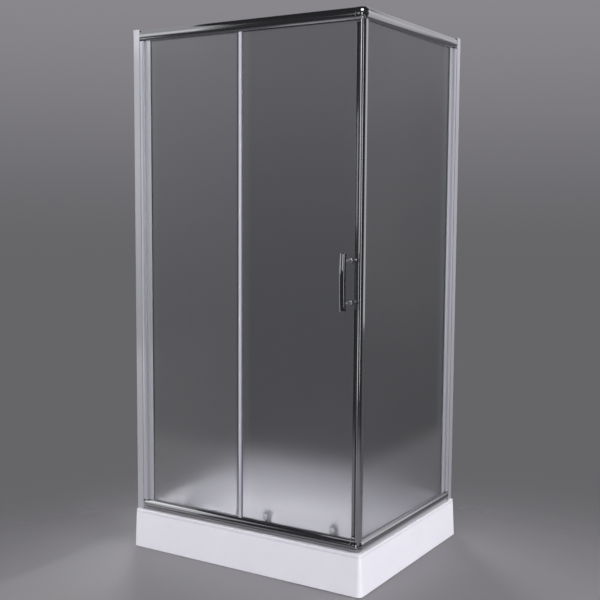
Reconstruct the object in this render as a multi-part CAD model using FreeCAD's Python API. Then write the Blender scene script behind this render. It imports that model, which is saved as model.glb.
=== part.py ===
import FreeCAD, Part
import math
import os

from FreeCAD import Vector

# Corner shower enclosure: a low tray, framed frosted panes and one sliding door.
# Millimetres, +Z up. The origin is on the floor under the middle of the tray, where the
# centre foot stands. The front runs along X, the walls stand at the -X and +Y edges of
# the tray, and the open corner is at +X, -Y.

# Overall sizes
TRAY_LENGTH = 1000.0  # along the front
TRAY_DEPTH = 800.0
TRAY_HEIGHT = 150.0
FRAME_HEIGHT = 1850.0  # wall channels, standing on the tray rim
FRAME_SETBACK = 8.0  # from the edge of the tray to the face of the frame

# Clearances
OVERRUN = 5.0  # how far a cutting body passes the face that it cuts
SEAT_GAP = 0.3  # between pieces that are only laid against each other
SLIDE_GAP = 0.4  # round a piece that is pushed into a channel or a chamber
RUNNING_GAP = 0.05  # radial play of wheels, axles and plungers
THREAD_GAP = 0.05  # radial play of a screw in its thread or its hole

# Tray shell
SHELL_WALL = 5.0
RIM_WIDTH = 66.0
LIP_DROP = 12.0  # turned-down edge of the rim
RIM_CORNER = 12.0  # radius of the open corner
BASIN_DEPTH = 50.0
BASIN_DRAFT = 12.0  # how far each basin wall leans in
BASIN_CORNER = 60.0
FLOOR_FALL = 7.0  # from the foot of the basin walls to the drain seat
DRAIN_SEAT = 130.0  # side of the flat seat round the drain
DRAIN_SEAT_CORNER = 40.0
DRAIN_FROM_LEFT = 250.0
DRAIN_FROM_BACK = 200.0
DRAIN_HOLE = 92.0

# Apron
APRON_WALL = 4.0
APRON_FLARE = 8.0  # how far the apron's foot stands out past the rim
APRON_FLOOR_GAP = 2.0
APRON_REVEAL = 0.8  # joint line between the rim's lip and the apron

# Carrier under the tray
BOARD_THICKNESS = 14.0
BOARD_INSET = 20.0
TUBE_WIDTH = 30.0
TUBE_HEIGHT = 25.0
TUBE_WALL = 2.0
TUBE_INSET = 130.0  # from the tray's end to the middle of an outer tube
TUBE_END_INSET = 70.0
FOOT_INSET = 140.0  # from the tray's front or back edge to a foot
FOOT_ROD = 10.0
FOOT_ROD_SOCKET = 10.0
FOOT_ROD_PAST_NUT = 6.0
NUT_ACROSS_FLATS = 16.0
NUT_HEIGHT = 8.0
PAD_DIAMETER = 46.0
PAD_NECK = 24.0
PAD_BASE = 6.0
PAD_HEIGHT = 16.0
BRACKET_WIDTH = 25.0
BRACKET_THICKNESS = 3.0
BRACKET_LAP = 40.0
SIDE_BRACKET_INSET = 200.0
CLIP_WIDTH = 36.0
CLIP_HEIGHT = 18.0
CLIP_DEPTH = 14.0

# Drain and trap
FLANGE_DIAMETER = 112.0
FLANGE_THICKNESS = 2.0
DISH_DIAMETER = 80.0
DISH_DEPTH = 16.0
DISH_WALL = 1.5
DISH_HOLE = 12.0
DISH_HOLES = 6
DISH_HOLE_CIRCLE = 48.0
SEAL_THICKNESS = 3.0
TRAP_DIAMETER = 96.0
TRAP_WALL = 3.0
TRAP_RING = 116.0
TRAP_RING_THICKNESS = 4.0
TRAP_CUP_DEPTH = 58.0
TRAP_BOSS = 14.0
TRAP_BOSS_DROP = 3.0  # from the dish's underside to the boss
TRAP_OUTLET = 40.0
TRAP_OUTLET_WALL = 2.5
TRAP_OUTLET_LENGTH = 70.0
TRAP_COLLAR = 46.0  # shoulder at the root of the outlet, where the waste pipe stops
TRAP_COLLAR_LENGTH = 3.0
TRAP_OUTLET_RISE = 24.0  # from the cup's underside to the outlet's axis
TRAP_CLEARANCE = 12.0  # between the trap's ring and the board
TRAP_SCREW = 6.0
TRAP_SCREW_HEAD = 12.0
TRAP_SCREW_HEAD_HEIGHT = 3.0
TRAP_SCREW_THREAD = 20.0  # thread in the boss
COVER_DIAMETER = 114.0
COVER_THICKNESS = 2.5
COVER_CROWN = 5.0
CROWN_HALFWAY_SHARE = 3 / 4  # height of the crown halfway out from its middle
COVER_LIFT = 4.0  # water gap between the flange and the cover
COVER_LEG = 7.0
COVER_LEGS = 3
COVER_LEG_CIRCLE = 62.0

# Glazing, shared by the rails, the stiles and the post
PANE = 5.0
GASKET = 1.0
PANE_SETBACK = 16.5  # from the face of the frame to the middle of a fixed pane
SLOT_DEPTH = 15.0
PANE_END_GAP = 0.5

# Rails
RAIL_HEIGHT = 40.0
RAIL_WALL = 2.0
RAIL_DROP = 3.0  # from the top of the wall channels to the top of the rails
TRACK_SETBACK = 31.0  # from the face of the frame to the middle of the track lip
TRACK_LIP = 2.0
TRACK_LIP_HEIGHT = 7.0
TRACK_COVER = 33.0  # reach of the flange that covers the wheels
TONGUE = 30.0  # connector tongues inside the rails

# Corner connectors and post
CORNER_RADIUS = 24.0
CORNER_NECK = 11.0  # diameter of the neck between a connector and the post
NECK_INSET = 11.0  # from the two faces of the frame to the neck's middle
SPIGOT = 5.0  # pin of a connector in the end of the post
SPIGOT_WALL = 1.2  # between the spigot and the post's pane slot
SPIGOT_LENGTH = 14.0
POST_INSET = 2.0
POST_SLOT = 13.0
LEG_REACH = 30.0  # from the face of the frame to the closing face of the post
LEG_WIDTH = 26.0
LEG_WALL = 2.0

# Wall channels and stiles
CHANNEL_REACH = 28.0
CHANNEL_WIDTH = 30.0
CHANNEL_WALL = 2.0
WALL_HOLE = 6.0
WALL_HOLES = 4
WALL_HOLE_END = 100.0
STILE_PLAY = 4.0  # adjustment left behind the stile in its channel
STILE_BEAD = 22.0
STILE_LIP = 22.0
STILE_LIP_WALL = 2.5
STILE_WALL = 2.0
COLLAR_LENGTH = 10.0  # visible collar between a channel and a rail
STILE_SCREWS = 3
STILE_SCREW = 4.0
STILE_SCREW_HEAD = 8.0
STILE_SCREW_HEAD_HEIGHT = 2.5
STILE_SCREW_LENGTH = 8.0
STILE_SCREW_END = 150.0
CAP_DIAMETER = 13.0
CAP_HEIGHT = 5.0

# Seals and magnets
MEETING_OFFSET = 11.0  # from the middle of the front to the free edge of the fixed pane
SEAL_WALL = 2.0
SEAL_GRIP = 14.0
SEAL_FIN = 2.0
SEAL_FIN_GAP = 1.5  # between the meeting fin and the door
MAGNET = 5.0
MAGNET_WIDTH = 14.0
SEAL_END_GAP = 2.0  # between the ends of the door's seals and the rails

# Door
DOOR_SETBACK = 40.0  # from the face of the frame to the middle of the door pane
DOOR_LAP = 32.0  # how far the door reaches behind the fixed pane
DOOR_TOP_MARGIN = 15.5  # from the upper axles to the pane's top edge
DOOR_FOOT_LAP = 12.0  # how far the pane reaches below the bottom rail's top
CLOSING_WIDTH = 11.0
CLOSING_WALL = 2.0
REAR_HOOK = 5.0

# Handle
HANDLE_FROM_EDGE = 25.0  # from the closing profile's edge to the handle's middle
HANDLE_HEIGHT = 1087.0  # middle of the handle above the floor
HANDLE_LENGTH = 200.0
HANDLE_WIDTH = 22.0
HANDLE_THICKNESS = 11.0
HANDLE_PROJECTION = 65.0
HANDLE_BOW = 5.0
HANDLE_EDGE = 3.0
HANDLE_SPACING = 145.0
HANDLE_POST = 10.0
HANDLE_ROSETTE = 16.0
HANDLE_ROSETTE_THICKNESS = 3.0
HANDLE_BOLT = 6.0
HANDLE_BOLT_GRIP = 14.0  # thread inside the stand-off
HANDLE_HOLE = 10.0
HANDLE_CAP = 20.0
HANDLE_CAP_THICKNESS = 9.0
HANDLE_CAP_GRIP = 6.0
HANDLE_STOP_GAP = 18.0  # left between the handle and the meeting seal when open

# Wheels and rollers
WHEEL_DIAMETER = 24.0
WHEEL_WIDTH = 7.0
GROOVE_DIAMETER = 19.0
GROOVE_WIDTH = 3.0
ROLLER_FROM_CLOSING = 85.0
ROLLER_FROM_REAR = 125.0
AXLE = 6.0
AXLE_HEAD = 10.0
AXLE_HEAD_THICKNESS = 2.0
BUSH_DIAMETER = 12.0
BUSH_FLANGE = 16.0
CAP_NUT = 18.0
CAP_NUT_THICKNESS = 9.0
CAP_NUT_GRIP = 6.0
STOP_LENGTH = 15.0
STOP_HEIGHT = 24.0
LOWER_BOLT_RISE = 12.0  # from the top of the bottom rail to the middle of the bolt
LOWER_CAP = 22.0
LOWER_CAP_THICKNESS = 8.0
LOWER_CAP_EDGE = 3.0
LOWER_BOLT = 8.0
LOWER_BOLT_HOLE = 10.0
HOUSING_WIDTH = 28.0
HOUSING_FRONT_WALL = 4.5
HOUSING_BACK_WALL = 3.0
HOUSING_FLOOR = 3.0
HOUSING_ABOVE_BOLT = 16.0
HOUSING_BELOW_BOLT = 19.0
HOUSING_EDGE = 2.0
PLUNGER_HEAD = 11.0
PLUNGER_HEAD_LAP = 8.0  # part of the head inside the housing
PLUNGER_BUTTON = 10.0  # part of the head above the housing
PLUNGER_EDGE = 1.5
PLUNGER_STEM = 6.0
PLUNGER_FOOT_WIDTH = 12.0
LOWER_AXLE = 5.0
LOWER_AXLE_COLLAR = 7.0
SPRING_WIRE = 0.8
SPRING_TURNS = 6

# Places that follow from the sizes above
TRAY_LEFT = -TRAY_LENGTH / 2
TRAY_RIGHT = TRAY_LENGTH / 2
TRAY_FRONT = -TRAY_DEPTH / 2
TRAY_BACK = TRAY_DEPTH / 2
FRAME_FRONT = TRAY_FRONT + FRAME_SETBACK
FRAME_SIDE = TRAY_RIGHT - FRAME_SETBACK
FRAME_TOP = TRAY_HEIGHT + FRAME_HEIGHT
RAIL_TOP = FRAME_TOP - RAIL_DROP
UPPER_FOOT = RAIL_TOP - RAIL_HEIGHT
LOWER_HEAD = TRAY_HEIGHT + RAIL_HEIGHT

RIM_UNDERSIDE = TRAY_HEIGHT - SHELL_WALL
APRON_SHOULDER = TRAY_HEIGHT - LIP_DROP - APRON_REVEAL
BASIN_FLOOR = TRAY_HEIGHT - BASIN_DEPTH
SEAT_TOP = BASIN_FLOOR - FLOOR_FALL
SEAT_UNDERSIDE = SEAT_TOP - SHELL_WALL
DRAIN_X = TRAY_LEFT + DRAIN_FROM_LEFT
DRAIN_Y = TRAY_BACK - DRAIN_FROM_BACK
DISH_FLOOR = SEAT_TOP - DISH_DEPTH + DISH_WALL
TRAP_RING_TOP = SEAT_UNDERSIDE - SEAL_THICKNESS
TRAP_BOTTOM = TRAP_RING_TOP - TRAP_CUP_DEPTH
TRAP_BOSS_TOP = SEAT_TOP - DISH_DEPTH - TRAP_BOSS_DROP
TRAP_OUTLET_HEIGHT = TRAP_BOTTOM + TRAP_OUTLET_RISE

BOARD_BOTTOM = SEAT_UNDERSIDE - BOARD_THICKNESS
TUBE_BOTTOM = BOARD_BOTTOM - TUBE_HEIGHT
TUBE_LEFT = TRAY_LEFT + TUBE_INSET
TUBE_RIGHT = TRAY_RIGHT - TUBE_INSET
TUBE_START = TRAY_FRONT + TUBE_END_INSET
TUBE_END = TRAY_BACK - TUBE_END_INSET
FOOT_FRONT = TRAY_FRONT + FOOT_INSET
FOOT_BACK = TRAY_BACK - FOOT_INSET
FOOT_PLACES = (
    (TUBE_LEFT, FOOT_FRONT),
    (TUBE_LEFT, FOOT_BACK),
    (0, 0),
    (TUBE_RIGHT, FOOT_FRONT),
    (TUBE_RIGHT, FOOT_BACK),
)

SLOT_FRONT = PANE_SETBACK - PANE / 2 - GASKET
SLOT_REAR = PANE_SETBACK + PANE / 2 + GASKET
RAIL_BULGE = SLOT_FRONT - RAIL_WALL
RAIL_REAR = SLOT_REAR + RAIL_WALL
FRONT_RUN = FRAME_SIDE - CORNER_RADIUS - TRAY_LEFT
SIDE_RUN = TRAY_BACK - FRAME_FRONT - CORNER_RADIUS
RAIL_START = CHANNEL_REACH + COLLAR_LENGTH
STILE_END = CHANNEL_REACH + STILE_BEAD
STILE_MOUTH = STILE_END + STILE_LIP
STILE_SLOT = STILE_MOUTH - SLOT_DEPTH
PANE_START = STILE_SLOT + PANE_END_GAP
PANE_FOOT = LOWER_HEAD - SLOT_DEPTH + PANE_END_GAP
PANE_HEAD = UPPER_FOOT + SLOT_DEPTH - PANE_END_GAP

CORNER_X = FRAME_SIDE - CORNER_RADIUS
CORNER_Y = FRAME_FRONT + CORNER_RADIUS
POST_RADIUS = (RAIL_REAR - POST_INSET) / 2
POST_X = FRAME_SIDE - POST_INSET - POST_RADIUS
POST_Y = FRAME_FRONT + POST_INSET + POST_RADIUS
POST_SLOT_END = CORNER_Y - POST_SLOT
SIDE_PANE_END = TRAY_BACK - POST_SLOT_END - PANE_END_GAP
LEG_X = FRAME_SIDE - LEG_REACH

MEETING_X = -MEETING_OFFSET
MEETING_RUN = MEETING_X - TRAY_LEFT
FIXED_PANE_Y = FRAME_FRONT + PANE_SETBACK
DOOR_Y = FRAME_FRONT + DOOR_SETBACK
DOOR_OUTER = DOOR_Y - PANE / 2
DOOR_INNER = DOOR_Y + PANE / 2
DOOR_LEFT = MEETING_X - DOOR_LAP
CLOSING_FACE = LEG_X - MAGNET - SEAT_GAP
PROFILE_RIGHT = CLOSING_FACE - MAGNET
PROFILE_LEFT = PROFILE_RIGHT - CLOSING_WIDTH
DOOR_RIGHT = PROFILE_RIGHT - CLOSING_WALL
SEAL_FOOT = LOWER_HEAD + SEAL_END_GAP
SEAL_HEAD = UPPER_FOOT - SEAL_END_GAP

TRACK_Y = FRAME_FRONT + TRACK_SETBACK
WHEEL_OUTER = TRACK_Y - WHEEL_WIDTH / 2
WHEEL_INNER = TRACK_Y + WHEEL_WIDTH / 2
TRACK_RISE = RAIL_WALL + TRACK_LIP_HEIGHT
WHEEL_RISE = TRACK_RISE + GROOVE_DIAMETER / 2 + RUNNING_GAP
UPPER_WHEEL_Z = UPPER_FOOT + WHEEL_RISE
LOWER_WHEEL_Z = LOWER_HEAD - WHEEL_RISE
ROLLER_LEFT = DOOR_LEFT + ROLLER_FROM_REAR
ROLLER_RIGHT = DOOR_RIGHT - ROLLER_FROM_CLOSING
ROLLERS = (ROLLER_LEFT, ROLLER_RIGHT)
DOOR_HEAD = UPPER_WHEEL_Z + DOOR_TOP_MARGIN
DOOR_FOOT = LOWER_HEAD - DOOR_FOOT_LAP

HANDLE_X = PROFILE_RIGHT - HANDLE_FROM_EDGE
HANDLE_FACE = DOOR_OUTER - HANDLE_PROJECTION
HANDLE_POSTS = (HANDLE_HEIGHT - HANDLE_SPACING / 2, HANDLE_HEIGHT + HANDLE_SPACING / 2)
DOOR_TRAVEL = HANDLE_X - HANDLE_ROSETTE / 2 - MEETING_X - SEAL_WALL - HANDLE_STOP_GAP

LOWER_BOLT_Z = LOWER_HEAD + LOWER_BOLT_RISE
HOUSING_TOP = LOWER_BOLT_Z + HOUSING_ABOVE_BOLT
HOUSING_BOTTOM = LOWER_BOLT_Z - HOUSING_BELOW_BOLT
POCKET_RADIUS = PLUNGER_HEAD / 2 + RUNNING_GAP
PLUNGER_Y = DOOR_INNER + HOUSING_FRONT_WALL + POCKET_RADIUS
HOUSING_BACK = PLUNGER_Y + POCKET_RADIUS + HOUSING_BACK_WALL
POCKET_FLOOR = HOUSING_BOTTOM + HOUSING_FLOOR
HEAD_UNDERSIDE = HOUSING_TOP - PLUNGER_HEAD_LAP

CORNER_LEVELS = ((UPPER_FOOT, 1), (LOWER_HEAD, -1))
UP = Vector(0, 0, 1)
BACKWARD = Vector(0, 1, 0)


def box(x0, x1, y0, y1, z0, z1):
    """Box between two corners."""
    return Part.makeBox(x1 - x0, y1 - y0, z1 - z0, Vector(x0, y0, z0))


def upright(x, y, diameter, z0, z1):
    """Round bar along Z."""
    return Part.makeCylinder(diameter / 2, z1 - z0, Vector(x, y, z0), UP)


def across(x, z, diameter, y0, y1):
    """Round bar along Y."""
    return Part.makeCylinder(diameter / 2, y1 - y0, Vector(x, y0, z), BACKWARD)


def closed_wire(start, *steps):
    """Closed wire; a step is a point for a straight edge or (middle, end) for an arc."""
    edges = []
    here = start
    for step in steps:
        if isinstance(step, tuple):
            middle, end = step
            edges.append(Part.Arc(here, middle, end).toShape())
        else:
            end = step
            edges.append(Part.LineSegment(here, end).toShape())
        here = end
    if here != start:
        edges.append(Part.LineSegment(here, start).toShape())
    return Part.Wire(edges)


def prism(wire, direction):
    """Solid swept straight from a flat closed wire."""
    return Part.Face(wire).extrude(direction)


def group(solids):
    """Several equal solids as one node."""
    return Part.makeCompound(solids)


def along_front(s, t, z):
    """Point of the front side: s from the side wall, t inwards from the frame's face."""
    return Vector(TRAY_LEFT + s, FRAME_FRONT + t, z)


def along_side(s, t, z):
    """Point of the return side: s from the back wall, t inwards from the frame's face."""
    return Vector(FRAME_SIDE - t, TRAY_BACK - s, z)


def bar(place, s0, s1, t0, t1, z0, z1):
    """Box in the run of one side of the frame."""
    a = place(s0, t0, z0)
    b = place(s1, t1, z1)
    return box(min(a.x, b.x), max(a.x, b.x), min(a.y, b.y), max(a.y, b.y), z0, z1)


def corner_middle(radius):
    """Sideways part of the middle point of a quarter arc of this radius."""
    return radius * math.sqrt(1 / 2)


def rounded_rectangle(x0, x1, y0, y1, radius, z):
    """Level rectangle with rounded corners."""
    bevel = radius - corner_middle(radius)
    return closed_wire(
        Vector(x0 + radius, y0, z),
        Vector(x1 - radius, y0, z),
        (Vector(x1 - bevel, y0 + bevel, z), Vector(x1, y0 + radius, z)),
        Vector(x1, y1 - radius, z),
        (Vector(x1 - bevel, y1 - bevel, z), Vector(x1 - radius, y1, z)),
        Vector(x0 + radius, y1, z),
        (Vector(x0 + bevel, y1 - bevel, z), Vector(x0, y1 - radius, z)),
        Vector(x0, y0 + radius, z),
        (Vector(x0 + bevel, y0 + bevel, z), Vector(x0 + radius, y0, z)),
    )


def basin_volume(grow, drop):
    """Inside of the basin down to the drain seat; grown and dropped, its outside."""
    mouth = RIM_WIDTH - grow
    foot = mouth + BASIN_DRAFT
    half_seat = DRAIN_SEAT / 2 + grow
    sections = [
        rounded_rectangle(
            TRAY_LEFT + inset,
            TRAY_RIGHT - inset,
            TRAY_FRONT + inset,
            TRAY_BACK - inset,
            BASIN_CORNER,
            z - drop,
        )
        for inset, z in ((mouth, TRAY_HEIGHT), (foot, BASIN_FLOOR))
    ]
    sections.append(
        rounded_rectangle(
            DRAIN_X - half_seat,
            DRAIN_X + half_seat,
            DRAIN_Y - half_seat,
            DRAIN_Y + half_seat,
            DRAIN_SEAT_CORNER,
            SEAT_TOP - drop,
        )
    )
    return Part.makeLoft(sections, True, True)


def tray_outline(z, inset):
    """Plan of the tray, rounded at its open corner only."""
    left = TRAY_LEFT + inset
    right = TRAY_RIGHT - inset
    front = TRAY_FRONT + inset
    back = TRAY_BACK - inset
    radius = RIM_CORNER - inset
    bevel = radius - corner_middle(radius)
    return closed_wire(
        Vector(left, front, z),
        Vector(right - radius, front, z),
        (Vector(right - bevel, front + bevel, z), Vector(right, front + radius, z)),
        Vector(right, back, z),
        Vector(left, back, z),
    )


def tray_shell():
    """Rim with a turned-down lip, and a basin that falls to the drain."""
    lip_foot = TRAY_HEIGHT - LIP_DROP
    rim = prism(tray_outline(lip_foot, 0), UP * LIP_DROP)
    under_rim = prism(tray_outline(lip_foot, SHELL_WALL), UP * (LIP_DROP - SHELL_WALL))
    shell = rim.cut(under_rim).fuse(basin_volume(SHELL_WALL, SHELL_WALL))
    shell = shell.cut(basin_volume(0, 0))
    drain = upright(DRAIN_X, DRAIN_Y, DRAIN_HOLE, SEAT_UNDERSIDE - OVERRUN, SEAT_TOP + OVERRUN)
    return shell.cut(drain).removeSplitter()


def apron_outline(z, grow, thickness, end_gap):
    """L-shaped plan of the apron: its outer face stands grow past the rim."""
    left = TRAY_LEFT + end_gap
    back = TRAY_BACK - end_gap
    corner_x = TRAY_RIGHT - RIM_CORNER
    corner_y = TRAY_FRONT + RIM_CORNER
    outer = RIM_CORNER + grow
    inner = outer - thickness
    outer_middle = corner_middle(outer)
    inner_middle = corner_middle(inner)
    return closed_wire(
        Vector(left, corner_y - outer, z),
        Vector(corner_x, corner_y - outer, z),
        (
            Vector(corner_x + outer_middle, corner_y - outer_middle, z),
            Vector(corner_x + outer, corner_y, z),
        ),
        Vector(corner_x + outer, back, z),
        Vector(corner_x + inner, back, z),
        Vector(corner_x + inner, corner_y, z),
        (
            Vector(corner_x + inner_middle, corner_y - inner_middle, z),
            Vector(corner_x, corner_y - inner, z),
        ),
        Vector(left, corner_y - inner, z),
    )


def tray_apron():
    """Flared panel of both open sides, hung behind the rim's lip by a stepped edge."""
    foot = apron_outline(APRON_FLOOR_GAP, APRON_FLARE, APRON_WALL, 0)
    head = apron_outline(APRON_SHOULDER, 0, APRON_WALL, 0)
    panel = Part.makeLoft([foot, head], True, True)
    step_in = SHELL_WALL + SEAT_GAP
    ledge_foot = APRON_SHOULDER - APRON_WALL
    ledge = prism(apron_outline(ledge_foot, 0, step_in + APRON_WALL, 0), UP * APRON_WALL)
    hook_height = RIM_UNDERSIDE - SEAT_GAP - ledge_foot
    hook = prism(apron_outline(ledge_foot, -step_in, APRON_WALL, step_in), UP * hook_height)
    return panel.fuse([ledge, hook]).removeSplitter()


def apron_inside(z):
    """How far the apron's inner face stands out past the rim at a height."""
    rise_share = (z - APRON_FLOOR_GAP) / (APRON_SHOULDER - APRON_FLOOR_GAP)
    return APRON_FLARE * (1 - rise_share) - APRON_WALL


def reinforcing_board():
    """Board bonded under the basin floor, with room for the trap."""
    inset = RIM_WIDTH + BASIN_DRAFT + BOARD_INSET
    board = box(
        TRAY_LEFT + inset,
        TRAY_RIGHT - inset,
        TRAY_FRONT + inset,
        TRAY_BACK - inset,
        BOARD_BOTTOM,
        BASIN_FLOOR,
    )
    room = TRAP_RING + 2 * TRAP_CLEARANCE
    hole = upright(DRAIN_X, DRAIN_Y, room, BOARD_BOTTOM - OVERRUN, BASIN_FLOOR + OVERRUN)
    return board.cut(basin_volume(SHELL_WALL, SHELL_WALL)).cut(hole)


def frame_tube(x):
    """Square tube under the board, with holes for its foot rods."""
    half = TUBE_WIDTH / 2
    tube = box(x - half, x + half, TUBE_START, TUBE_END, TUBE_BOTTOM, BOARD_BOTTOM)
    bore = box(
        x - half + TUBE_WALL,
        x + half - TUBE_WALL,
        TUBE_START - OVERRUN,
        TUBE_END + OVERRUN,
        TUBE_BOTTOM + TUBE_WALL,
        BOARD_BOTTOM - TUBE_WALL,
    )
    tube = tube.cut(bore)
    for foot_x, foot_y in FOOT_PLACES:
        if foot_x == x:
            drill = FOOT_ROD + 2 * SEAT_GAP
            top = TUBE_BOTTOM + TUBE_WALL + OVERRUN
            tube = tube.cut(upright(x, foot_y, drill, TUBE_BOTTOM - OVERRUN, top))
    return tube


def foot_rods():
    """Threaded rods from the pads up into the tubes."""
    foot = PAD_HEIGHT - FOOT_ROD_SOCKET
    head = TUBE_BOTTOM + TUBE_WALL + NUT_HEIGHT + FOOT_ROD_PAST_NUT
    return group([upright(x, y, FOOT_ROD, foot, head) for x, y in FOOT_PLACES])


def foot_pads():
    """Pads that stand on the floor."""
    pads = []
    for x, y in FOOT_PLACES:
        pad = upright(x, y, PAD_DIAMETER, 0, PAD_BASE)
        foot = Vector(x, y, PAD_BASE)
        cone = Part.makeCone(PAD_DIAMETER / 2, PAD_NECK / 2, PAD_HEIGHT - PAD_BASE, foot, UP)
        socket_foot = PAD_HEIGHT - FOOT_ROD_SOCKET
        socket = upright(x, y, FOOT_ROD + 2 * THREAD_GAP, socket_foot, PAD_HEIGHT + OVERRUN)
        pads.append(pad.fuse(cone).cut(socket).removeSplitter())
    return group(pads)


def hexagon_nut(x, y, z):
    """Nut on a foot rod."""
    corner = NUT_ACROSS_FLATS / math.sqrt(3)
    points = [
        Vector(x + corner * math.cos(k * math.pi / 3), y + corner * math.sin(k * math.pi / 3), z)
        for k in range(6)
    ]
    nut = prism(closed_wire(*points), UP * NUT_HEIGHT)
    return nut.cut(upright(x, y, FOOT_ROD + 2 * THREAD_GAP, z - OVERRUN, z + NUT_HEIGHT + OVERRUN))


def foot_nuts():
    """A welded nut inside the tube and a lock nut under it at each foot."""
    levels = (TUBE_BOTTOM + TUBE_WALL, TUBE_BOTTOM - NUT_HEIGHT)
    return group([hexagon_nut(x, y, z) for x, y in FOOT_PLACES for z in levels])


def bracket_strips():
    """Flat strips from the tubes to the apron: front ones by tube, then the side ones."""
    half = BRACKET_WIDTH / 2
    foot = TUBE_BOTTOM - BRACKET_THICKNESS
    reach = apron_inside(TUBE_BOTTOM) - SEAT_GAP
    strips = []
    for x in (TUBE_LEFT, 0, TUBE_RIGHT):
        tip = TRAY_FRONT - reach
        strips.append(box(x - half, x + half, tip, TUBE_START + BRACKET_LAP, foot, TUBE_BOTTOM))
    for y in (TRAY_FRONT + SIDE_BRACKET_INSET, TRAY_BACK - SIDE_BRACKET_INSET):
        tip = TRAY_RIGHT + reach
        root = TUBE_RIGHT - TUBE_WIDTH / 2
        strips.append(box(root, tip, y - half, y + half, foot, TUBE_BOTTOM))
    return strips


def apron_brackets():
    """Steel strips under the tubes that hold the apron's foot."""
    return group(bracket_strips())


def apron_clips():
    """Blocks bonded to the apron, each with a groove for the tip of a strip."""
    half = CLIP_WIDTH / 2
    middle = TUBE_BOTTOM - BRACKET_THICKNESS / 2
    foot = middle - CLIP_HEIGHT / 2
    head = middle + CLIP_HEIGHT / 2
    outside = APRON_FLARE
    inside = apron_inside(head) - CLIP_DEPTH
    blocks = []
    for x in (TUBE_LEFT, 0, TUBE_RIGHT):
        y0 = TRAY_FRONT - outside
        blocks.append(box(x - half, x + half, y0, TRAY_FRONT - inside, foot, head))
    for y in (TRAY_FRONT + SIDE_BRACKET_INSET, TRAY_BACK - SIDE_BRACKET_INSET):
        x1 = TRAY_RIGHT + outside
        blocks.append(box(TRAY_RIGHT + inside, x1, y - half, y + half, foot, head))
    panel = tray_apron()

    def distance_in(piece):
        return abs(piece.CenterOfMass.x) + abs(piece.CenterOfMass.y)

    clips = []
    for block, strip in zip(blocks, bracket_strips()):
        limits = strip.BoundBox
        groove = box(
            limits.XMin - SEAT_GAP,
            limits.XMax + SEAT_GAP,
            limits.YMin - SEAT_GAP,
            limits.YMax + SEAT_GAP,
            limits.ZMin - SEAT_GAP,
            limits.ZMax + SEAT_GAP,
        )
        pieces = block.cut(panel).cut(groove).Solids
        clips.append(min(pieces, key=distance_in))
    return group(clips)


def drain_flange():
    """Chromed ring on the basin floor with a perforated dish."""
    ring = upright(DRAIN_X, DRAIN_Y, FLANGE_DIAMETER, SEAT_TOP, SEAT_TOP + FLANGE_THICKNESS)
    dish_foot = SEAT_TOP - DISH_DEPTH
    dish = upright(DRAIN_X, DRAIN_Y, DISH_DIAMETER, dish_foot, SEAT_TOP)
    bore = DISH_DIAMETER - 2 * DISH_WALL
    hollow = upright(DRAIN_X, DRAIN_Y, bore, DISH_FLOOR, SEAT_TOP + FLANGE_THICKNESS + OVERRUN)
    flange = ring.fuse(dish).cut(hollow)
    for k in range(DISH_HOLES):
        angle = 2 * math.pi * (k + 1 / 2) / DISH_HOLES
        x = DRAIN_X + DISH_HOLE_CIRCLE / 2 * math.cos(angle)
        y = DRAIN_Y + DISH_HOLE_CIRCLE / 2 * math.sin(angle)
        flange = flange.cut(upright(x, y, DISH_HOLE, dish_foot - OVERRUN, DISH_FLOOR + OVERRUN))
    screw_hole = TRAP_SCREW + 2 * SEAT_GAP
    flange = flange.cut(upright(DRAIN_X, DRAIN_Y, screw_hole, dish_foot - OVERRUN, DISH_FLOOR + OVERRUN))
    return flange.removeSplitter()


def drain_seal():
    """Ring between the tray and the trap."""
    ring = upright(DRAIN_X, DRAIN_Y, TRAP_RING, TRAP_RING_TOP, SEAT_UNDERSIDE)
    bore = upright(DRAIN_X, DRAIN_Y, DRAIN_HOLE, TRAP_RING_TOP - OVERRUN, SEAT_UNDERSIDE + OVERRUN)
    return ring.cut(bore)


def trap_body():
    """Cup with a clamping ring, a screw boss and a shouldered spigot towards the back wall."""
    ring_foot = TRAP_RING_TOP - TRAP_RING_THICKNESS
    ring = upright(DRAIN_X, DRAIN_Y, TRAP_RING, ring_foot, TRAP_RING_TOP)
    cup = upright(DRAIN_X, DRAIN_Y, TRAP_DIAMETER, TRAP_BOTTOM, TRAP_RING_TOP)
    outlet_end = DRAIN_Y + TRAP_DIAMETER / 2 + TRAP_OUTLET_LENGTH
    outlet = across(DRAIN_X, TRAP_OUTLET_HEIGHT, TRAP_OUTLET, DRAIN_Y, outlet_end)
    collar_end = DRAIN_Y + TRAP_DIAMETER / 2 + TRAP_COLLAR_LENGTH
    collar = across(DRAIN_X, TRAP_OUTLET_HEIGHT, TRAP_COLLAR, DRAIN_Y, collar_end)
    cup_bore = TRAP_DIAMETER - 2 * TRAP_WALL
    cup_floor = TRAP_BOTTOM + TRAP_WALL
    hollow = upright(DRAIN_X, DRAIN_Y, cup_bore, cup_floor, TRAP_RING_TOP + OVERRUN)
    outlet_bore = TRAP_OUTLET - 2 * TRAP_OUTLET_WALL
    passage = across(DRAIN_X, TRAP_OUTLET_HEIGHT, outlet_bore, DRAIN_Y, outlet_end + OVERRUN)
    boss = upright(DRAIN_X, DRAIN_Y, TRAP_BOSS, TRAP_BOTTOM, TRAP_BOSS_TOP)
    thread_foot = TRAP_BOSS_TOP - TRAP_SCREW_THREAD
    thread = upright(DRAIN_X, DRAIN_Y, TRAP_SCREW + 2 * THREAD_GAP, thread_foot, TRAP_BOSS_TOP + OVERRUN)
    shell = ring.fuse([cup, collar, outlet]).cut(hollow).cut(passage)
    return shell.fuse(boss).cut(thread).removeSplitter()


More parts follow.
